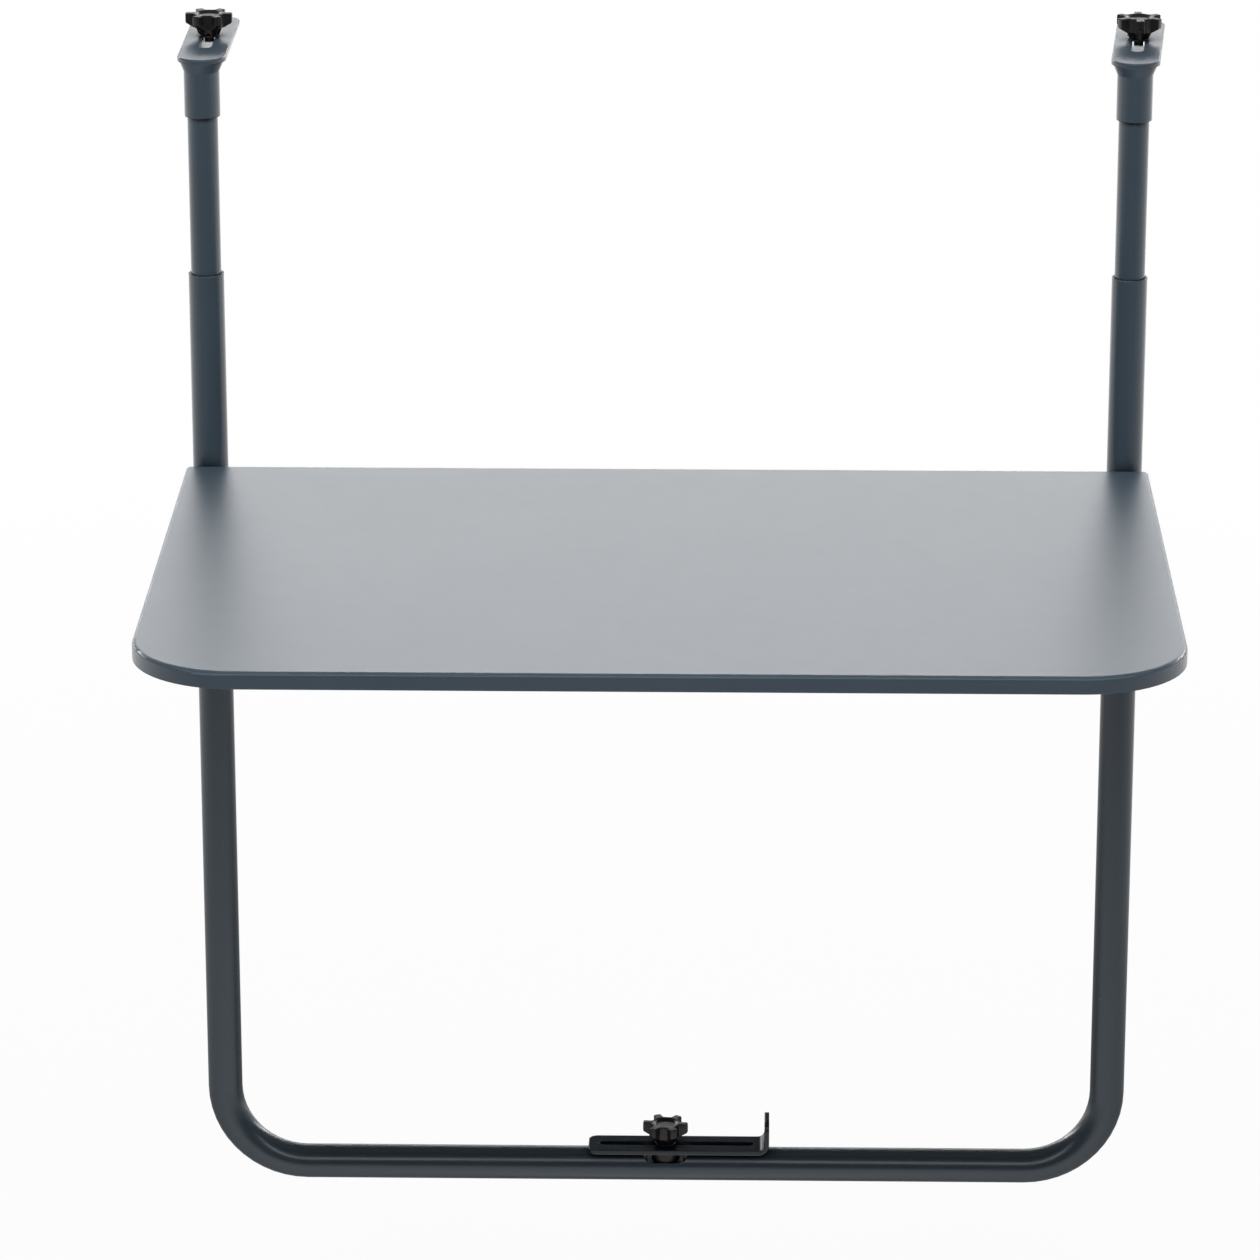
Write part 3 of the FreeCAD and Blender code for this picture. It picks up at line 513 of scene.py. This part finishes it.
class Bench:
    """A place to model one new piece with Blender's own tools."""

    def __init__(self, name: str, primitive: Callable[..., Any], **settings: Any) -> None:
        """Add the primitive that the piece starts from and open it for editing.

        Args:
            name: The piece's name.
            primitive: Operator that adds it.
            settings: Its sizes and place.
        """
        bpy.ops.object.select_all(action="DESELECT")
        primitive(**settings)
        self.piece = bpy.context.object
        self.piece.name = self.piece.data.name = name
        bpy.ops.object.transform_apply(location=True, rotation=True, scale=True)
        bpy.ops.object.mode_set(mode="EDIT")

    def faces(self, test: Callable[[Vector, Vector], bool]) -> None:
        """Select faces.

        Args:
            test: Tells from a face's middle and direction whether it is selected.
        """
        bpy.ops.mesh.select_mode(type="FACE")
        bpy.ops.mesh.select_all(action="DESELECT")
        mesh = bmesh.from_edit_mesh(self.piece.data)
        for face in mesh.faces:
            face.select_set(test(face.calc_center_median(), face.normal))
        bmesh.update_edit_mesh(self.piece.data)

    def points(self, test: Callable[[Vector], bool]) -> None:
        """Select points.

        Args:
            test: Tells from a point's place whether it is selected.
        """
        bpy.ops.mesh.select_mode(type="VERT")
        bpy.ops.mesh.select_all(action="DESELECT")
        mesh = bmesh.from_edit_mesh(self.piece.data)
        for point in mesh.verts:
            point.select_set(test(point.co))
        mesh.select_flush_mode()
        bmesh.update_edit_mesh(self.piece.data)

    def lift(self, height: float) -> None:
        """Move what is selected up.

        Args:
            height: How far.
        """
        bpy.ops.transform.translate(value=(0, 0, height))

    def extrude(self, move: Sequence[float]) -> None:
        """Pull the selected faces out.

        Args:
            move: How far they go along each axis.
        """
        bpy.ops.mesh.extrude_region_move(TRANSFORM_OT_translate={"value": tuple(move)})

    def widen(self, factor: float) -> None:
        """Scale what is selected along X and Y, about the Z axis.

        Args:
            factor: The scale.
        """
        bpy.ops.transform.resize(value=(factor, factor, 1), center_override=(0, 0, 0))

    def swell(self, count: int, step: float, narrow: float) -> None:
        """Pull a narrow disc out in steps that widen and narrow in turn.

        Args:
            count: Number of steps.
            step: Length of a step.
            narrow: The narrow radius as a share of the wide one.
        """
        self.faces(lambda spot, way: True)
        for index in range(count):
            self.extrude((0, 0, step))
            self.widen(narrow if index % 2 else 1 / narrow)

    def close(self, bevel: float = 0.0, levels: int = 0, angle: float = 40.0) -> bpy.types.Object:
        """Leave edit mode and finish the piece with applied modifiers.

        Args:
            bevel: Width of the eased edges.
            levels: Levels of subdivision.
            angle: Edges sharper than this many degrees are eased.

        Returns:
            The finished piece.
        """
        bpy.ops.mesh.select_all(action="SELECT")
        bpy.ops.mesh.remove_doubles(threshold=MERGE)
        bpy.ops.mesh.normals_make_consistent(inside=False)
        bpy.ops.object.mode_set(mode="OBJECT")
        if bevel:
            ease = self.piece.modifiers.new("ease", "BEVEL")
            ease.width, ease.segments, ease.angle_limit = bevel, BEVEL_SEGMENTS, math.radians(angle)
            bpy.ops.object.modifier_apply(modifier=ease.name)
        if levels:
            soften = self.piece.modifiers.new("soften", "SUBSURF")
            soften.levels = soften.render_levels = levels
            bpy.ops.object.modifier_apply(modifier=soften.name)
        bpy.ops.object.shade_smooth_by_angle(angle=math.radians(angle))
        return self.piece


def settle(pattern: bpy.types.Object, name: str, place: Sequence[float],
           turn: Sequence[float] = (0, 0, 0)) -> bpy.types.Object:
    """Copy a modelled piece to its place, with a mesh of its own.

    Args:
        pattern: The piece to copy.
        name: The copy's name.
        place: Where its origin goes.
        turn: Angles about X, Y and Z in radians.

    Returns:
        The copy, with its place in its mesh.
    """
    copy = pattern.copy()
    copy.data = pattern.data.copy()
    copy.name = copy.data.name = name
    bpy.context.scene.collection.objects.link(copy)
    bpy.ops.object.select_all(action="DESELECT")
    copy.select_set(True)
    bpy.context.view_layer.objects.active = copy
    copy.location, copy.rotation_euler = place, turn
    bpy.ops.object.transform_apply(location=True, rotation=True, scale=True)
    return copy


def gather(pieces: List[bpy.types.Object], name: str) -> bpy.types.Object:
    """Join several modelled pieces into one.

    Args:
        pieces: The pieces to join.
        name: The name of the result.

    Returns:
        The joined piece.
    """
    bpy.ops.object.select_all(action="DESELECT")
    for piece in pieces:
        piece.select_set(True)
    bpy.context.view_layer.objects.active = pieces[0]
    bpy.ops.object.join()
    pieces[0].name = pieces[0].data.name = name
    return pieces[0]


def discard(*patterns: bpy.types.Object) -> None:
    """Remove modelled pieces that were only copied from.

    Args:
        patterns: The pieces to remove.
    """
    for pattern in patterns:
        bpy.data.objects.remove(pattern)


def fit(piece: bpy.types.Object, body: str, look: Look, palette: Palette, *nodes: str) -> None:
    """Dress a new piece and let it move with its body.

    Args:
        piece: The finished piece.
        body: The CAD body that carries it.
        look: Its finish.
        palette: The materials by finish.
        nodes: The CAD nodes that it stands for.
    """
    piece.data.materials.clear()
    piece.data.materials.append(palette[look])
    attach(piece, body)
    if nodes:
        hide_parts(*nodes)
    LOG.info("%s rides on %s in %s", piece.name, body, look.label)


def middle(node: str) -> Vector:
    """Find the middle of a CAD node's box.

    Args:
        node: The node's name.

    Returns:
        The middle.
    """
    low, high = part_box(node)
    return (low + high) / 2


@dataclass
class StarKnob:
    """Six-lobed moulded knob with a dished top and a fluted hub, its foot at the origin.

    Attributes:
        lobes: Number of lobes.
        steps: Sides of the core to each lobe.
        core: Radius of the core between the lobes.
        tip: Radius to the lobes' tips.
        crown: Height of the top.
        root: Height of the core's underside.
        rake: How far the lobes' undersides rise towards the tips.
        shoulder: Width of the step from the core to the hub.
        foot: Radius of the hub's foot.
        dish: Radius of the dish in the top.
        sink: Depth of the dish.
        reach: How far the lobes are pulled out before they widen.
        flute: Radius of the foot between the lobes, as a share of the foot's.
        edge: Width of the eased edges.
        facing: Angle of the first lobe.
    """

    lobes: int = 6
    steps: int = 4
    core: float = 0.0094
    tip: float = 0.01475
    crown: float = 0.0135
    root: float = 0.0043
    rake: float = 0.0032
    shoulder: float = 0.0011
    foot: float = 0.0066
    dish: float = 0.0080
    sink: float = 0.0014
    reach: float = 0.0050
    flute: float = 0.72
    edge: float = 0.0006
    facing: float = -math.pi / 3

    def offset(self, spot: Vector) -> float:
        """Measure the angle between a spot and the nearest lobe's axis.

        Args:
            spot: The spot.

        Returns:
            The angle in radians.
        """
        share = 2 * math.pi / self.lobes
        angle = math.atan2(spot.y, spot.x) - self.facing
        return abs((angle + share / 2) % share - share / 2)

    def build(self) -> bpy.types.Object:
        """Model the knob from a short cylinder.

        Returns:
            The knob, with a valley between two lobes facing the user.
        """
        count = self.lobes * self.steps
        step = 2 * math.pi / count
        bench = Bench("star_knob", bpy.ops.mesh.primitive_cylinder_add, vertices=count, radius=self.core,
                      depth=self.crown - self.root, location=(0, 0, (self.crown + self.root) / 2))
        self.pull_lobes(bench, step)
        bench.points(lambda spot: spot.z < self.root + NEAR and spot.xy.length > self.core + MARGIN)
        bench.lift(self.rake)
        bench.faces(lambda spot, way: way.z < -LEVEL and spot.xy.length < MARGIN)
        bpy.ops.mesh.inset(thickness=self.shoulder)
        bench.extrude((0, 0, -self.root))
        bench.widen(self.foot / (self.core - self.shoulder))
        valley = step * 1.5
        bench.points(lambda spot: spot.z < NEAR and self.offset(spot) > valley)
        bench.widen(self.flute)
        bench.faces(lambda spot, way: way.z > LEVEL and spot.xy.length < MARGIN)
        bpy.ops.mesh.inset(thickness=self.core - self.dish)
        bpy.ops.mesh.inset(thickness=self.sink, depth=-self.sink)
        return bench.close(bevel=self.edge, levels=2, angle=30.0)

    def pull_lobes(self, bench: Bench, half_lobe: float) -> None:
        """Pull the lobes out of the core.

        Args:
            bench: The bench that holds the core.
            half_lobe: Half the angle of one lobe.
        """
        for index in range(self.lobes):
            angle = self.facing + index * 2 * math.pi / self.lobes
            axis = Vector((math.cos(angle), math.sin(angle), 0))
            bench.faces(lambda spot, way: abs(way.z) < UPRIGHT and spot.xy.length < self.core + NEAR
                        and axis.angle(Vector((spot.x, spot.y, 0))) < half_lobe)
            bench.extrude(axis * self.reach)
            bench.widen(self.tip / (self.core + self.reach))


@dataclass
class HexHead:
    """Chamfered hexagon of a screw, its foot at the origin and its end along +Z.

    Attributes:
        flats: Width across the flats.
        height: Height of the head.
        chamfer: Height of the chamfer, and width of the dimple's slope.
        slope: Width of the chamfer as a share of its height.
        dimple: Depth of the dimple in the end.
        edge: Width of the eased edges.
    """

    flats: float
    height: float
    chamfer: float = 0.0006
    slope: float = 1.6
    dimple: float = 0.0002
    edge: float = 0.00018

    def build(self, name: str) -> bpy.types.Object:
        """Model the head from a six-sided cylinder.

        Args:
            name: The head's name.

        Returns:
            The head.
        """
        radius = self.flats / math.sqrt(3)
        bench = Bench(name, bpy.ops.mesh.primitive_cylinder_add, vertices=6, radius=radius, depth=self.height,
                      location=(0, 0, self.height / 2))
        bench.faces(lambda spot, way: way.z > LEVEL)
        bpy.ops.mesh.inset(thickness=self.chamfer * self.slope)
        bench.points(lambda spot: spot.z > self.height - NEAR and spot.xy.length > radius - NEAR)
        bench.lift(-self.chamfer)
        bench.faces(lambda spot, way: way.z > LEVEL and spot.xy.length < MARGIN)
        bpy.ops.mesh.inset(thickness=self.chamfer, depth=-self.dimple)
        return bench.close(bevel=self.edge, angle=25.0)


@dataclass
class ThreadedShank:
    """Screw shank with turned ridges, from the origin along +Z."""

    radius: float
    length: float
    pitch: float = 0.001
    depth: float = 0.00032
    sides: int = 24

    def build(self, name: str) -> bpy.types.Object:
        """Model the shank by pulling a disc out ridge by ridge.

        Args:
            name: The shank's name.

        Returns:
            The shank.
        """
        count = max(2, 2 * round(self.length / self.pitch))
        narrow = (self.radius - self.depth) / self.radius
        bench = Bench(name, bpy.ops.mesh.primitive_circle_add, vertices=self.sides,
                      radius=self.radius * narrow, fill_type="NGON")
        bench.swell(count, self.length / count, narrow)
        return bench.close(angle=50.0)


@dataclass
class WeldBead:
    """Rippled bead of a short weld, centred at the origin along +Z."""

    length: float = 0.013
    radius: float = 0.0013
    ripples: int = 8
    narrow: float = 0.72
    sides: int = 10

    def build(self, name: str) -> bpy.types.Object:
        """Model the bead by pulling a small disc out in swells.

        Args:
            name: The bead's name.

        Returns:
            The bead.
        """
        count = 2 * self.ripples
        bench = Bench(name, bpy.ops.mesh.primitive_circle_add, vertices=self.sides,
                      radius=self.radius * self.narrow, location=(0, 0, -self.length / 2), fill_type="NGON")
        bench.swell(count, self.length / count, self.narrow)
        return bench.close(levels=1, angle=70.0)


@dataclass
class SubAssembly:
    """Pieces that are fitted together, with the finish of each CAD node."""

    palette: Palette
    looks: Dict[str, Look] = field(default_factory=dict)

    def dress(self, nodes: Dict[str, bpy.types.Object]) -> None:
        """Put the finishes on the CAD nodes.

        Args:
            nodes: The CAD nodes by name.
        """
        for name, look in self.looks.items():
            nodes[name].data.materials.clear()
            nodes[name].data.materials.append(self.palette[look])
            LOG.info("%s takes %s", name, look.label)

    def build(self) -> None:
        """Model the new pieces, where there are any."""


@dataclass
class Tabletop(SubAssembly):
    """Sheet top with its hinge brackets, catches, stiffener and hinge bolts.

    Attributes:
        bolt_flats: Width across the flats of the bolts and nuts.
        bolt_head: Height of the bolts' heads.
        nut_height: Height of the nuts.
        shank: Radius of the bolts.
        bracket_beads: Places of the weld beads along a hinge bracket, as shares of its length.
        stiffener_beads: Places of the weld beads along the stiffener.
    """

    bolt_flats: float = 0.010
    bolt_head: float = 0.004
    nut_height: float = 0.005
    shank: float = 0.003
    bracket_beads: Tuple[float, ...] = (0.3, 0.75)
    stiffener_beads: Tuple[float, ...] = (-0.2, -0.067, 0.067, 0.2)

    def __post_init__(self) -> None:
        """List the CAD nodes."""
        self.looks = {"tabletop": Look.TOP_COAT, "top_stiffener": Look.COAT}
        for side in Side:
            self.looks[side.node("hinge_bracket")] = Look.COAT
            self.looks[side.node("stay_catch")] = Look.COAT
        self.looks.update(hinge_bolts=Look.ZINC, hinge_nuts=Look.ZINC, hinge_washers=Look.NYLON)

    def build(self) -> None:
        """Model the bolts, the nuts and the welds under the sheet."""
        self.make_bolts()
        self.make_welds()

    def make_bolts(self) -> None:
        """Model the hinge bolts and nuts, heads outwards."""
        head = HexHead(self.bolt_flats, self.bolt_head).build("bolt_head")
        nut = HexHead(self.bolt_flats, self.nut_height).build("bolt_nut")
        level = middle("hinge_bolts")
        bolts: List[bpy.types.Object] = []
        nuts: List[bpy.types.Object] = []
        for side in Side:
            low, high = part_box(side.node("hinge_bracket"))
            way = -1 if side is Side.LEFT else 1
            inside, outside = (high.x, low.x) if side is Side.LEFT else (low.x, high.x)
            outward, inward = (0, way * QUARTER_TURN, 0), (0, -way * QUARTER_TURN, 0)
            length = high.x - low.x + self.nut_height
            shank = ThreadedShank(self.shank, length).build("bolt_shank")
            bolts.append(settle(head, "head", (outside, level.y, level.z), outward))
            bolts.append(settle(shank, "shank", (outside, level.y, level.z), inward))
            nuts.append(settle(nut, "nut", (inside, level.y, level.z), inward))
            discard(shank)
        discard(head, nut)
        fit(gather(bolts, "hinge_bolt_pair"), "tabletop", Look.ZINC, self.palette, "hinge_bolts")
        fit(gather(nuts, "hinge_nut_pair"), "tabletop", Look.ZINC, self.palette, "hinge_nuts")

    def make_welds(self) -> None:
        """Lay weld beads along the brackets, the catches and the stiffener."""
        bead = WeldBead().build("bead")
        along_x, along_y = (0, QUARTER_TURN, 0), (QUARTER_TURN, 0, 0)
        beads: List[bpy.types.Object] = []
        for side in Side:
            low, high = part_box(side.node("hinge_bracket"))
            for x in (low.x, high.x):
                for share in self.bracket_beads:
                    spot = (x, low.y + (high.y - low.y) * share, high.z)
                    beads.append(settle(bead, "bead", spot, along_y))
            low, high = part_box(side.node("stay_catch"))
            for y in (low.y, high.y):
                beads.append(settle(bead, "bead", ((low.x + high.x) / 2, y, high.z), along_x))
        low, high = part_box("top_stiffener")
        for x in self.stiffener_beads:
            for y in (low.y, high.y):
                beads.append(settle(bead, "bead", (x, y, high.z), along_x))
        discard(bead)
        fit(gather(beads, "tabletop_welds"), "tabletop", Look.COAT, self.palette)


@dataclass
class BentFrame(SubAssembly):
    """Bent tube with its lugs, bushes, lock screws and rivet nut.

    Attributes:
        lock_flats: Width across the flats of the lock screws.
        lock_head: Height of their heads.
        shank: Radius of their shanks.
    """

    lock_flats: float = 0.010
    lock_head: float = 0.004
    shank: float = 0.003

    def __post_init__(self) -> None:
        """List the CAD nodes."""
        self.looks = {"u_frame": Look.COAT, "bracket_rivet_nut": Look.DARK}
        for side in Side:
            self.looks[side.node("post_lug")] = Look.COAT
            self.looks[side.node("stay_bush")] = Look.NYLON
        self.looks.update(height_lock_nuts=Look.ZINC, height_lock_screws=Look.ZINC)

    def build(self) -> None:
        """Model the lock screws and the welds of the lugs."""
        self.make_lock_screws()
        self.make_welds()

    def make_lock_screws(self) -> None:
        """Model the screws that hold the telescopic tubes."""
        low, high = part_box("height_lock_screws")
        level = (low.z + high.z) / 2
        seat = high.y - self.lock_head
        head = HexHead(self.lock_flats, self.lock_head).build("lock_head")
        shank = ThreadedShank(self.shank, seat - low.y).build("lock_shank")
        backward = (-QUARTER_TURN, 0, 0)
        screws: List[bpy.types.Object] = []
        for side in Side:
            post = middle(side.node("inner_tube")).x
            screws.append(settle(head, "head", (post, seat, level), backward))
            screws.append(settle(shank, "shank", (post, low.y, level), backward))
        discard(head, shank)
        fit(gather(screws, "lock_screw_pair"), "frame", Look.ZINC, self.palette, "height_lock_screws")

    def make_welds(self) -> None:
        """Lay weld beads where the lugs meet the posts."""
        bead = WeldBead().build("bead")
        beads: List[bpy.types.Object] = []
        for side in Side:
            low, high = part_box(side.node("post_lug"))
            for x in (low.x, high.x):
                beads.append(settle(bead, "bead", (x, high.y, (low.z + high.z) / 2)))
        discard(bead)
        fit(gather(beads, "frame_welds"), "frame", Look.COAT, self.palette)


@dataclass
class SupportStay(SubAssembly):
    """Bent rod that props the top up."""

    def __post_init__(self) -> None:
        """List the CAD node."""
        self.looks = {"support_stay": Look.COAT}


@dataclass
class KnobbedAssembly(SubAssembly):
    """A sub-assembly that a star knob clamps.

    Attributes:
        knob: The modelled knob to copy.
        knob_turn: Degrees that the copy is turned.
    """

    knob: Optional[bpy.types.Object] = None
    knob_turn: float = 0.0

    def seat_knob(self, name: str, stud: str, node: str, body: str) -> None:
        """Set a copy of the knob on its stud.

        Args:
            name: The copy's name.
            stud: The CAD node of the stud.
            node: The CAD node that the copy stands for.
            body: The CAD body that carries it.
        """
        axis = middle(stud)
        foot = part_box(node)[0].z
        turn = (0, 0, math.radians(self.knob_turn))
        piece = settle(self.knob, name, (axis.x, axis.y, foot), turn)
        fit(piece, body, Look.PLASTIC, self.palette, node)


@dataclass
class HangingHook(KnobbedAssembly):
    """Telescopic tube with its hook, clamp and star knob on one side."""

    side: Side = Side.LEFT

    def __post_init__(self) -> None:
        """List the CAD nodes."""
        looks = {"inner_tube": Look.COAT, "hook": Look.COAT, "hook_keeper": Look.ZINC, "clamp_nut": Look.ZINC,
                 "clamp_washer": Look.DARK, "knob_stud": Look.DARK, "hook_knob": Look.PLASTIC}
        self.looks = {self.side.node(name): look for name, look in looks.items()}

    def build(self) -> None:
        """Set the star knob on its stud."""
        self.seat_knob(*(self.side.node(name) for name in ("star_knob", "knob_stud", "hook_knob", "knob")))


@dataclass
class LowerBracket(KnobbedAssembly):
    """Slotted bracket on the crossbar with its star knob."""

    def __post_init__(self) -> None:
        """List the CAD nodes."""
        self.looks = {"rail_bracket": Look.SHADED_BRACKET_COAT, "bracket_washer": Look.DARK,
                      "bracket_stud": Look.DARK, "bracket_knob": Look.PLASTIC}

    def build(self) -> None:
        """Set the star knob on its stud."""
        self.seat_knob("bracket_star_knob", "bracket_stud", "bracket_knob", "bracket_knob")


@dataclass(frozen=True)
class Softbox:
    """One soft lamp: its name, where it hangs, its width and height, and its power in watts."""

    name: str
    place: Point
    size: Range
    power: float


@dataclass(frozen=True)
class Strip:
    """Level bright strip of the world that only reflections see.

    Attributes:
        rise: Heights where it starts and is full.
        fall: Heights where it is gone and still full.
        side: Depths where it starts and is full.
        power: Its strength.
    """

    rise: Range
    fall: Range
    side: Range
    power: float


@dataclass
class Studio:
    """Camera, soft lamps, pale floor and white surroundings.

    The world's heights and depths are the Z and Y parts of a direction.

    Attributes:
        target: Point that the camera looks at.
        distance: From the camera to that point.
        elevation: Degrees that the camera looks down.
        yaw: Degrees that it looks aside.
        focal_pixels: Its focal length in pixels of the photograph.
        view_reach: How far it sees.
        lit_point: Point that the lamps face.
        softboxes: The lamps.
        ambient: The world's strength as a light.
        overhead: Its strength in reflections above and behind.
        front: Its strength in reflections in front.
        rear_range: Depths where the rear starts and is full.
        wall: Added strength low at the rear.
        wall_range: Heights where that starts and is full.
        strips: Bright strips in reflections.
        floor_height: Height of the floor.
        floor_size: Length of its sides.
        floor_shade: Its grey.
        floor_roughness: Its roughness.
        floor_front: Its strength in reflections in front, near and far.
        floor_sides: Its strength in reflections at the sides and behind, near and far.
        front_reach: What is near and far in front.
        sides_reach: What is near and far at the sides and behind.
        sides_range: Depths where the front is full and where the sides are full.
        shadow_reach: Distances where the floor's shadow fades and is gone.
        plain_share: How much of the floor is plain white there.
    """

    target: Point = (-0.02028, -0.150, -0.31612)
    distance: float = 3.5
    elevation: float = 18.39
    yaw: float = -1.08
    focal_pixels: float = 5786.8
    view_reach: float = 100.0
    lit_point: Point = (0.0, -0.2, -0.3)
    softboxes: Tuple[Softbox, ...] = (
        Softbox("top_softbox", (0.0, -0.5, 2.3), (2.6, 2.2), 4.0),
        Softbox("front_softbox", (-0.1, -2.0, 2.7), (1.4, 1.4), 150.0),
    )
    ambient: float = 0.30
    overhead: float = 0.25
    front: float = 0.04
    rear_range: Range = (-0.35, 0.05)
    wall: float = 0.45
    wall_range: Range = (0.32, 0.24)
    strips: Tuple[Strip, ...] = (
        Strip((0.19, 0.26), (0.37, 0.31), (0.3, 0.8), 11.0),
        Strip((0.44, 0.56), (0.71, 0.60), (-0.2, -0.5), 3.0),
    )
    floor_height: float = -0.995
    floor_size: float = 30.0
    floor_shade: float = 0.6
    floor_roughness: float = 0.9
    floor_front: Range = (1.2, 0.10)
    floor_sides: Range = (0.3, 1.7)
    front_reach: Range = (0.4, 3.2)
    sides_reach: Range = (0.8, 3.0)
    sides_range: Range = (-0.85, 0.25)
    shadow_reach: Range = (0.8, 2.6)
    plain_share: Range = (0.95, 1.0)

    def aim(self) -> None:
        """Set the camera at the photograph's angle."""
        turn, lean = math.radians(self.yaw), math.radians(self.elevation)
        forward = Vector((math.sin(turn) * math.cos(lean), math.cos(turn) * math.cos(lean), -math.sin(lean)))
        data = bpy.data.cameras.new("camera")
        data.sensor_width = SENSOR_WIDTH
        data.lens = self.focal_pixels / IMAGE_WIDTH * SENSOR_WIDTH
        data.clip_end = self.view_reach
        camera = bpy.data.objects.new("camera", data)
        camera.location = Vector(self.target) - forward * self.distance
        camera.rotation_euler = forward.to_track_quat("-Z", "Y").to_euler()
        bpy.context.scene.collection.objects.link(camera)
        bpy.context.scene.camera = camera

    def light(self) -> None:
        """Hang the softboxes above the table and high in front of it."""
        for softbox in self.softboxes:
            data = bpy.data.lights.new(softbox.name, "AREA")
            data.shape = "RECTANGLE"
            data.size, data.size_y = softbox.size
            data.energy = softbox.power
            lamp = bpy.data.objects.new(softbox.name, data)
            lamp.location = softbox.place
            way = Vector(self.lit_point) - lamp.location
            lamp.rotation_euler = way.to_track_quat("-Z", "Y").to_euler()
            lamp.visible_camera = False
            lamp.visible_glossy = False
            bpy.context.scene.collection.objects.link(lamp)

    def surround(self) -> None:
        """Make the world white where it is seen and soft as a light, with bright strips in reflections."""
        world = bpy.data.worlds.new("studio")
        world.use_nodes = True
        bpy.context.scene.world = world
        sheet = NodeSheet(world.node_tree)
        way = sheet.add("ShaderNodeSeparateXYZ")
        sheet.join(sheet.add("ShaderNodeTexCoord").outputs["Generated"], way.inputs["Vector"])
        depth, height = way.outputs["Y"], way.outputs["Z"]
        rear = sheet.span(depth, *self.rear_range, smooth=True)
        mirrored = sheet.span(rear, 0.0, 1.0, self.front, self.overhead)
        wall = sheet.span(height, *self.wall_range, 0.0, self.wall, smooth=True)
        mirrored = sheet.calculate("ADD", mirrored, sheet.calculate("MULTIPLY", rear, wall))
        for strip in self.strips:
            rise = sheet.span(height, *strip.rise, smooth=True)
            fall = sheet.span(height, *strip.fall, smooth=True)
            side = sheet.span(depth, *strip.side, 0.0, strip.power, smooth=True)
            bright = sheet.calculate("MULTIPLY", sheet.calculate("MULTIPLY", rise, fall), side)
            mirrored = sheet.calculate("ADD", mirrored, bright)
        path = sheet.add("ShaderNodeLightPath")
        gloss = sheet.calculate("MAXIMUM", path.outputs["Is Glossy Ray"], path.outputs["Is Transmission Ray"])
        strength = sheet.span(gloss, 0.0, 1.0, self.ambient, mirrored)
        strength = sheet.span(path.outputs["Is Camera Ray"], 0.0, 1.0, strength, 1.0)
        background = sheet.add("ShaderNodeBackground")
        background.inputs["Color"].default_value = (1.0, 1.0, 1.0, 1.0)
        sheet.join(strength, background.inputs["Strength"])
        sheet.join(background.outputs["Background"], sheet.add("ShaderNodeOutputWorld").inputs["Surface"])

    def lay_floor(self) -> None:
        """Lay a pale floor that keeps a faint shadow and is mirrored brightly at the sides."""
        bpy.ops.object.select_all(action="DESELECT")
        bpy.ops.mesh.primitive_plane_add(size=self.floor_size, location=(0.0, 0.0, self.floor_height))
        floor = bpy.context.object
        floor.name = "floor"
        sheet = ShaderSheet("pale_floor")
        sheet.surface.inputs["Base Color"].default_value = (*[self.floor_shade] * 3, 1.0)
        sheet.surface.inputs["Roughness"].default_value = self.floor_roughness
        sheet.surface.inputs["Specular IOR Level"].default_value = 0.0
        path = sheet.add("ShaderNodeLightPath")
        camera, gloss = path.outputs["Is Camera Ray"], path.outputs["Is Glossy Ray"]
        spot = sheet.add("ShaderNodeSeparateXYZ")
        sheet.join(sheet.place, spot.inputs["Vector"])
        length = sheet.add("ShaderNodeVectorMath", operation="LENGTH")
        sheet.join(sheet.place, length.inputs[0])
        reach = length.outputs["Value"]
        depth = sheet.calculate("DIVIDE", spot.outputs["Y"], reach)
        ahead = sheet.span(reach, *self.front_reach, *self.floor_front)
        sides = sheet.span(reach, *self.sides_reach, *self.floor_sides)
        mirrored = sheet.span(depth, *self.sides_range, ahead, sides)
        glow = sheet.add("ShaderNodeEmission")
        sheet.join(sheet.span(camera, 0.0, 1.0, mirrored, 1.0), glow.inputs["Strength"])
        plain = sheet.calculate("MULTIPLY", camera, sheet.span(reach, *self.shadow_reach, *self.plain_share))
        mix = sheet.add("ShaderNodeMixShader")
        sheet.join(sheet.calculate("MAXIMUM", plain, gloss), mix.inputs["Fac"])
        sheet.join(sheet.surface.outputs["BSDF"], mix.inputs[1])
        sheet.join(glow.outputs["Emission"], mix.inputs[2])
        sheet.join(mix.outputs["Shader"], sheet.output.inputs["Surface"])
        floor.data.materials.append(sheet.material)


def main() -> None:
    """Build the table's looks piece by piece."""
    logging.basicConfig(level=logging.INFO, format="%(name)s: %(message)s")
    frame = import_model()
    bpy.ops.object.select_all(action="DESELECT")
    bpy.context.scene.view_settings.view_transform = "Standard"
    palette: Palette = {look: finish.build() for look, finish in FINISHES.items()}
    knob = StarKnob().build()
    assemblies: List[SubAssembly] = [
        Tabletop(palette),
        BentFrame(palette),
        SupportStay(palette),
        HangingHook(palette, side=Side.LEFT, knob=knob),
        HangingHook(palette, side=Side.RIGHT, knob=knob, knob_turn=30.0),
        LowerBracket(palette, knob=knob, knob_turn=-6.5),
    ]
    for assembly in assemblies:
        assembly.dress(frame["nodes"])
        assembly.build()
    discard(knob)
    studio = Studio()
    studio.surround()
    studio.lay_floor()
    studio.light()
    studio.aim()


if __name__ == "__main__":
    main()
